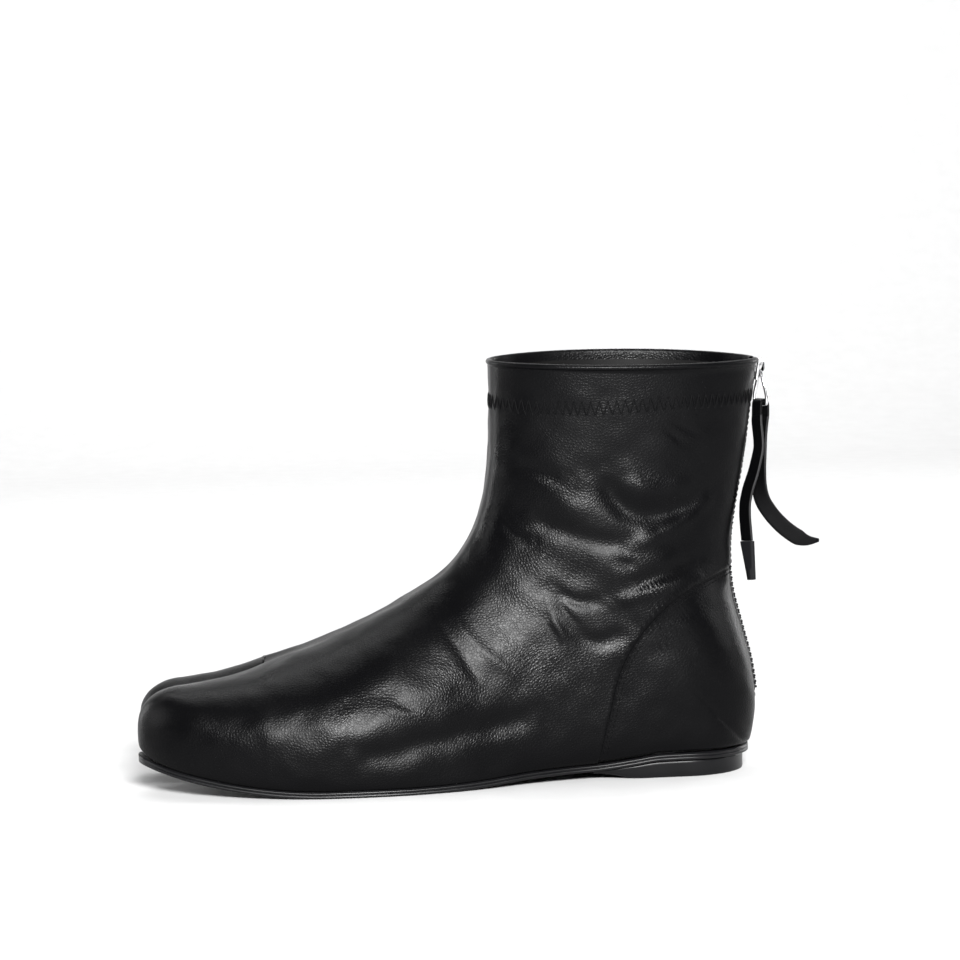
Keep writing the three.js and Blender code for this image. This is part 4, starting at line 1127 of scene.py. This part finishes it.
# Sole and heel
SOLE_PROFILE = [
    (-1.6, 0.0), (-GROOVE_DEPTH, 0.0), (-GROOVE_DEPTH, 0.1), (-0.22, 0.12), (0.0, 0.17),
    (0.04, 0.3), (0.0, 0.42), (-0.2, 0.465), (-0.5, 0.5), (-0.5, 0.535), (-0.16, 0.565),
    (0.0, 0.6), (0.0, 0.75), (0.0, 0.9), (-0.1, 0.97), (-0.35, 1.0), (-1.4, 1.0),
]


def plate_half(s, side, edge, top, bottom, profile):
    half = max(END_HALF, feather_half(s, side, -edge))
    middle = SPLIT_OFFSET * clamp((s - SHAFT_DEPTH) / (SPLIT_END - SHAFT_DEPTH), 0, 1)
    rows = [(middle, 0)] + [(side * (half + out), level) for out, level in profile] + [(middle, 1)]
    return [(to_x(s), y, mix(top(s), bottom(s), level)) for y, level in rows]


def plate_toe(side, s, end, edge, top, bottom, profile):
    plan = round_end((s - (end - PLAN_ROUND)) / PLAN_ROUND, 2.3)
    tip_y = side * TOES[side]["tip"] * BALL_WIDTH
    run = clamp((s - SPLIT_END) / (end - SPLIT_END), 0, 1)
    gap = SPLIT_GAP / 2 * toe_opening(run)
    wall_y = mix(tip_y, SPLIT_OFFSET + side * gap, plan)
    side_y = mix(tip_y, side * (feather_half(s, side) + edge), plan)
    rows = [(wall_y, 0)]
    rows += [(side_y + side * out * plan, level) for out, level in profile]
    rows += [(wall_y, 1)]
    return [(to_x(s), y, mix(top(s), bottom(s), level)) for y, level in rows]


def plate_parts(edge, top, bottom, profile, start, end, split):
    stations = [start + 0.02]
    stations += [start + HEEL_ROUND * (i / 40) ** 1.7 for i in range(1, 41)]
    stations += list(np.linspace(start + HEEL_ROUND, end, 130))[1:]
    parts = []
    for side in (LATERAL, MEDIAL):
        rows = [plate_half(s, side, edge, top, bottom, profile) for s in stations]
        if split:
            stop = LENGTH - TOE_TUCK + edge + TOE_LIP
            for i in range(TOE_ROWS):
                a = (i + 1) / (TOE_ROWS + 0.3) * math.pi / 2
                s = mix(end, stop, math.sin(a) ** 0.9)
                rows.append(plate_toe(side, s, stop, edge, top, bottom, profile))
            last = rows[-1]
            middle = np.mean(np.array(last), axis=0)
            middle[0] = to_x(stop)
            rows.append([tuple(middle)] * len(last))
        width = len(rows[0])
        faces = grid_faces(len(rows), width)
        # the side of the split
        if split:
            first = len(stations) - 1
            faces += [
                (k * width, (k + 1) * width, (k + 2) * width - 1, (k + 1) * width - 1)
                for k in range(first, len(rows) - 1)
            ]
        faces.append(tuple(range(width)))
        parts.append(([p for row in rows for p in row], faces))
    return merged(*join(parts))


def dress_plate(name, parts, node_name):
    piece = add_mesh(name, *parts, EDGE_PAINT)
    face_out(piece)
    piece.data.materials.append(SOLE_RUBBER)
    for face in piece.data.polygons:
        if face.normal.z < -0.75:
            face.material_index = 1
    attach(piece, "root")
    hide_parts(node_name)


dress_plate(
    "outsole_dressed",
    plate_parts(
        SOLE_EDGE, sole_top, sole_bottom, SOLE_PROFILE, HEEL_BACK - SOLE_EDGE, SPLIT_END, True,
    ),
    "outsole",
)


def heel_bottom(s):
    run = clamp((s - HEEL_LENGTH) / BREAST, 0, 1)
    edge = sole_bottom(HEEL_LENGTH + BREAST) - CLEARANCE - HEEL_TOE
    return edge * run * run * (3 - 2 * run)


HEEL_PROFILE = [
    (0.0, 0.0), (0.4, 0.02), (0.35, 0.2), (0.15, 0.6), (0.0, 0.88), (-0.12, 0.96),
    (-0.4, 1.0), (-1.5, 1.0),
]
heel_edge = SOLE_EDGE - HEEL_INSET
dress_plate(
    "heel_dressed",
    plate_parts(
        heel_edge, lambda s: sole_bottom(s) - CLEARANCE, heel_bottom, HEEL_PROFILE,
        HEEL_BACK - heel_edge, HEEL_LENGTH + BREAST, False,
    ),
    "heel",
)

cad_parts["insole"].data.materials.clear()
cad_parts["insole"].data.materials.append(INSOLE_CLOTH)


# Zip
back_rows = [row for row in sections if row["under"] == 0]
back_curve = smooth_curve(*([row[name] for row in back_rows] for name in ("foot_z", "foot_s")))
zip_top = COLLAR_BACK - 1
zip_low = ZIP_FOOT + CLEARANCE
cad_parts["zip_tape"].data.materials.clear()
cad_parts["zip_tape"].data.materials.append(TAPE_CLOTH)


def back_frame(z):
    """Place on the back's middle line, and the ways out and up there."""
    up = np.array([to_x(back_curve(z + 0.5)) - to_x(back_curve(z - 0.5)), 0, 1.0])
    up /= np.linalg.norm(up)
    out = np.array([up[2], 0, -up[0]])
    return np.array([to_x(back_curve(z)), 0, z]), out, up


# A tooth's cross sections: across from the zip's middle, size as a share
TOOTH_SHAPE = [(-0.75, 0.4), (-0.6, 0.8), (-0.2, 1.0), (1.7, 1.0), (2.1, 0.85), (2.25, 0.5)]
TOOTH_SIDES = 12
TOOTH_STEP = 1.15


def tooth(z, side):
    place, out, up = back_frame(z)
    points = []
    for y, size in TOOTH_SHAPE:
        for u, v in circle_section(1, TOOTH_SIDES):
            wide = math.copysign(abs(u) ** 0.6, u) * size
            high = math.copysign(abs(v) ** 0.6, v) * size
            points.append(
                place + out * (0.28 + 0.72 * wide) + up * (high * TOOTH_STEP * 0.42)
                + np.array([0, side * y, 0])
            )
    count = len(points)
    faces = grid_faces(len(TOOTH_SHAPE), TOOTH_SIDES, closed=True)
    faces += [tuple(range(TOOTH_SIDES)), tuple(range(count - 1, count - TOOTH_SIDES - 1, -1))]
    return points, faces


tooth_count = int((zip_top - zip_low) / TOOTH_STEP)
teeth = add_mesh("zip_teeth_dressed", *join([
    tooth(zip_low + (i + 0.5) * (zip_top - zip_low) / tooth_count, 1 if i % 2 else -1)
    for i in range(tooth_count)
]), TOOTH)
face_out(teeth)
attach(teeth, "root")
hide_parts("zip_teeth")


def eased_copy(source, name, material, width):
    """A copy of a hard solid with eased edges."""
    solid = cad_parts[source]
    piece = bpy.data.objects.new(name, solid.data.copy())
    bpy.context.scene.collection.objects.link(piece)
    piece.data.materials.clear()
    piece.data.materials.append(material)
    bm = bmesh.new()
    bm.from_mesh(piece.data)
    bmesh.ops.remove_doubles(bm, verts=bm.verts, dist=1e-6)
    bmesh.ops.dissolve_limit(bm, angle_limit=math.radians(3), verts=bm.verts, edges=bm.edges)
    bm.to_mesh(piece.data)
    bm.free()
    bevel = piece.modifiers.new("ease", "BEVEL")
    bevel.width = width * MM
    bevel.segments = 3
    bevel.limit_method = "ANGLE"
    bevel.angle_limit = math.radians(35)
    bevel.harden_normals = True
    piece.data.polygons.foreach_set("use_smooth", [True] * len(piece.data.polygons))
    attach(piece, "root")
    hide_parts(source)
    return piece


slider = eased_copy("zip_slider", "zip_slider_dressed", METAL, 0.22)

slider_top = COLLAR_BACK - SLIDER_DROP
slider_foot = slider_top - SLIDER_HEIGHT
slider_out = TEETH_PROUD + CLEARANCE + SLIDER_THICKNESS
bar_way = np.array([math.sin(LOOP_TURN), -math.cos(LOOP_TURN), 0])
out_way = np.array([math.cos(LOOP_TURN), math.sin(LOOP_TURN), 0])
loop_z = mix(slider_foot, slider_top, LOOP_PLACE)
loop_s = back_curve(loop_z) - slider_out - CLEARANCE - LOOP_WIRE / 2
loop_top = np.array([to_x(loop_s), 0, loop_z])
bar_middle = loop_top - np.array([0, 0, LOOP_HEIGHT])


# Half the loop from its top to its bar: half width, down and turn, as shares
LOOP_SHAPE = [
    (0.15, 0, 0), (0.27, 0.07, 0.1), (0.42, 0.34, 0.5), (0.5, 0.68, 0.9), (0.49, 0.92, 1),
    (0.42, 1, 1),
]


def make_loop():
    points = []
    for sign, rows in ((1, LOOP_SHAPE), (-1, LOOP_SHAPE[::-1])):
        for half, down, turned in rows:
            way = np.array([0, -1, 0]) * (1 - turned) + bar_way * turned
            points.append(loop_top + way * sign * half * LOOP_WIDTH - [0, 0, down * LOOP_HEIGHT])
    around = smooth_path(points[-3:] + points + points[:3], 180)
    first = int(np.argmin(np.linalg.norm(around[:90] - points[0], axis=1)))
    last = 90 + int(np.argmin(np.linalg.norm(around[90:] - points[0], axis=1)))
    around = around[first:last]
    wire = circle_section(LOOP_WIRE / 2, 20)
    return sweep(around, [out_way] * len(around), wire, closed=True)


loop = add_mesh("pull_loop_dressed", *make_loop(), METAL)
face_out(loop)
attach(loop, "root")
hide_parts("pull_loop")


# Tie. Each row: out from the bar's middle, towards the little toe, down, turn in degrees
TAIL_BY_HEEL = [
    (-1.7, 0.8, 4.6, 25), (-1.8, 1.4, 8, 26), (-1.5, 1.9, 12.5, 26), (-1.4, 2.5, 17.5, 25),
    (-2.2, 3, 21.6, 26), (-4.1, 3.5, 28.5, 28), (-6.2, 3.8, 34.5, 30), (-7.5, 3.9, 40.2, 31),
    (-7.8, 4, 44.5, 32), (-7.6, 4.1, 49.5, 33), (-7.1, 4.2, 56.3, 33),
]
TAIL_AWAY = [
    (1.55, -0.72, 4.6, 25), (1, -1.3, 9.2, 25), (0.6, -1.7, 14.1, 26), (0.1, -2, 21.5, 31),
    (-0.5, -2.2, 28, 43), (-0.5, -2.4, 35, 58), (1, -2.7, 41, 71), (4.2, -2.8, 46.1, 78),
    (8.3, -2.8, 50.8, 82), (12.4, -2.8, 54.3, 84), (16, -2.8, 56.6, 84), (19.6, -2.8, 57.8, 84),
    (24.2, -2.8, 57.8, 84),
]


def tail_point(out, side, down):
    return bar_middle + np.array([out, -side, -down])


STRAP_SIDES = 22
STRAP_EDGES = {1, 2, 3, 4, 12, 13, 14, 15}  # sides of the section that lie on its edges
INNER_STEPS = 70
OUTER_STEPS = 90


def strap_section(width, thickness):
    """A flat strap with rounded edges."""
    w, t = width / 2, thickness / 2
    right = [(w - t + t * math.cos(a), t * math.sin(a)) for a in np.linspace(-1.5, 1.5, 7)]
    top = [(w * x, t) for x in (0.6, 0.2, -0.2, -0.6)]
    left = [(-w + t - t * math.cos(a), -t * math.sin(a)) for a in np.linspace(-1.5, 1.5, 7)]
    bottom = [(w * x, -t) for x in (-0.6, -0.2, 0.2, 0.6)]
    return right + top + left + bottom


def strap_across(points, turns):
    out = []
    for i in range(len(points)):
        a, b = points[max(0, i - 1)], points[min(len(points) - 1, i + 1)]
        tangent = (b - a) / np.linalg.norm(b - a)
        flat = np.cross((0, 1, 0), tangent)
        flat /= np.linalg.norm(flat)
        turn = math.radians(turns[i])
        out.append(np.array([0, -math.cos(turn), 0]) - flat * math.sin(turn))
    return out


def make_strap(rows, count, width_at, thickness):
    path = smooth_path([(*tail_point(*row[:3]), row[3]) for row in rows], count)
    points, turns = path[:, :3], path[:, 3]
    each = [strap_section(width_at(i / (count - 1)), thickness) for i in range(count)]
    return points, sweep(points, strap_across(points, turns), each)


def paint_edges(piece, rows):
    """Gives the narrow sides of a strap their cut edge."""
    piece.data.materials.append(CUT_EDGE)
    for i, face in enumerate(piece.data.polygons):
        if i < (rows - 1) * STRAP_SIDES and i % STRAP_SIDES in STRAP_EDGES:
            face.material_index = 1


def declare_tail(piece, points, node_name):
    length = float(np.linalg.norm(np.diff(points, axis=0), axis=1).sum()) * MM
    tuple(float(v) * MM for v in points[0])
    [tuple(float(v) * MM for v in p) for p in points]
    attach(piece, "root")
    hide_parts(node_name)


sleeve_start = TAIL_BY_HEEL[-1]
sleeve_rows = [
    (
        sleeve_start[0] + SLEEVE_LEAN * t, sleeve_start[1],
        sleeve_start[2] + CLEARANCE + SLEEVE_LENGTH * t, sleeve_start[3],
    )
    for t in (0, 0.33, 0.66, 1)
]
_, sleeve_mesh = make_strap(
    sleeve_rows, 24, lambda t: mix(TIE_WIDTH + 2 * SLEEVE_WALL, 0.62 * TIE_WIDTH, t),
    TIE_THICKNESS + 2 * SLEEVE_WALL,
)
sleeve = add_mesh("tie_sleeve_dressed", *sleeve_mesh, SLEEVE)
face_out(sleeve)
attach(sleeve, "root")
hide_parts("tie_sleeve")

inner_path, inner_mesh = make_strap(
    TAIL_BY_HEEL, INNER_STEPS, lambda t: TIE_WIDTH, TIE_THICKNESS,
)
tail_inner = add_mesh("tie_tail_inner_dressed", *inner_mesh, TIE_LEATHER)
face_out(tail_inner)
paint_edges(tail_inner, INNER_STEPS)
declare_tail(tail_inner, inner_path, "tie_tail_inner")

outer_path, outer_mesh = make_strap(
    TAIL_AWAY, OUTER_STEPS, lambda t: TIE_WIDTH * clamp((1 - t) * 9 + 0.22, 0, 1), TIE_THICKNESS,
)
tail_outer = add_mesh("tie_tail_outer_dressed", *outer_mesh, TIE_LEATHER)
face_out(tail_outer)
paint_edges(tail_outer, OUTER_STEPS)
declare_tail(tail_outer, outer_path, "tie_tail_outer")


def make_fold():
    radius = LOOP_WIRE / 2 + CLEARANCE + TIE_THICKNESS / 2
    points = [tail_point(*row[:3]) for row in (TAIL_BY_HEEL[1], TAIL_BY_HEEL[0])]
    for a in np.linspace(0, math.pi, 13):
        points.append(
            bar_middle - out_way * radius * math.cos(a) + np.array([0, 0, radius * math.sin(a)])
        )
    points += [tail_point(*row[:3]) for row in TAIL_AWAY[:2]]
    points = smooth_path(points, 64)
    section = strap_section(TIE_WIDTH - 0.15, TIE_THICKNESS - 0.12)
    return sweep(points, [bar_way] * len(points), section)


fold = add_mesh("tie_fold_dressed", *make_fold(), TIE_LEATHER)
face_out(fold)
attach(fold, "root")
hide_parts("tie_fold")


# Floor and light
def make_stage():
    """A pale floor that rises behind the boot in one sweep."""
    bend, wide, front, back, tall = 0.9, 5.0, -3.0, 1.6, 3.2
    arc = [(bend * math.sin(a), bend * (1 - math.cos(a))) for a in np.linspace(0, math.pi / 2, 25)]
    profile = [(front, 0)] + [(back + y, z) for y, z in arc] + [(back + bend, tall)]
    points = [(x * 1000, y * 1000, z * 1000) for y, z in profile for x in (-wide, wide)]
    material, tree, shader = new_material("pale floor", Roughness=0.9, Specular_IOR_Level=0.1)
    place = node(tree, "ShaderNodeTexCoord").outputs["Object"]
    grain = node(tree, "ShaderNodeTexNoise", [("Vector", place)], Scale=60, Detail=4)
    tint = ramp(tree, grain.outputs["Fac"], [(0.3, 0.49), (0.7, 0.51)])
    tree.links.new(tint, shader.inputs["Base Color"])
    floor = add_mesh("floor", points, grid_faces(len(profile), 2), material)


def add_light(name, place, aim, size, energy):
    data = bpy.data.lights.new(name, "AREA")
    data.shape = "RECTANGLE"
    data.size, data.size_y = size
    data.energy = energy
    light = bpy.data.objects.new(name, data)
    light.location = place
    way = Vector(aim) - Vector(place)
    light.rotation_euler = way.to_track_quat("-Z", "Y").to_euler()
    bpy.context.scene.collection.objects.link(light)


make_stage()
BOOT_MIDDLE = (-0.08, 0, 0.07)
# name, place, aim, size, energy
LIGHTS = [
    ("key", (-0.05, -1.35, 0.6), BOOT_MIDDLE, (0.38, 0.2), 70),
    ("top", (0.0, 0.5, 1.8), BOOT_MIDDLE, (2.2, 0.9), 22),
    ("toe side", (-1.4, -0.1, 0.5), BOOT_MIDDLE, (0.3, 0.7), 5),
    ("heel side", (1.2, -0.1, 0.5), BOOT_MIDDLE, (0.3, 0.7), 5),
    ("behind the heel", (1.1, 0.9, 0.35), BOOT_MIDDLE, (0.3, 0.8), 8),
    ("behind the toes", (-1.3, 0.8, 0.35), BOOT_MIDDLE, (0.3, 0.8), 8),
    ("back wash", (0.0, 1.2, 1.9), (0.0, 2.5, 0.6), (3.0, 0.6), 64),
]
for light in LIGHTS:
    add_light(*light)

world = bpy.data.worlds.new("studio")
world.use_nodes = True
world.node_tree.nodes["Background"].inputs["Color"].default_value = (0.95, 0.97, 1.0, 1)
world.node_tree.nodes["Background"].inputs["Strength"].default_value = 0.1
bpy.context.scene.world = world
bpy.context.scene.view_settings.view_transform = "Standard"
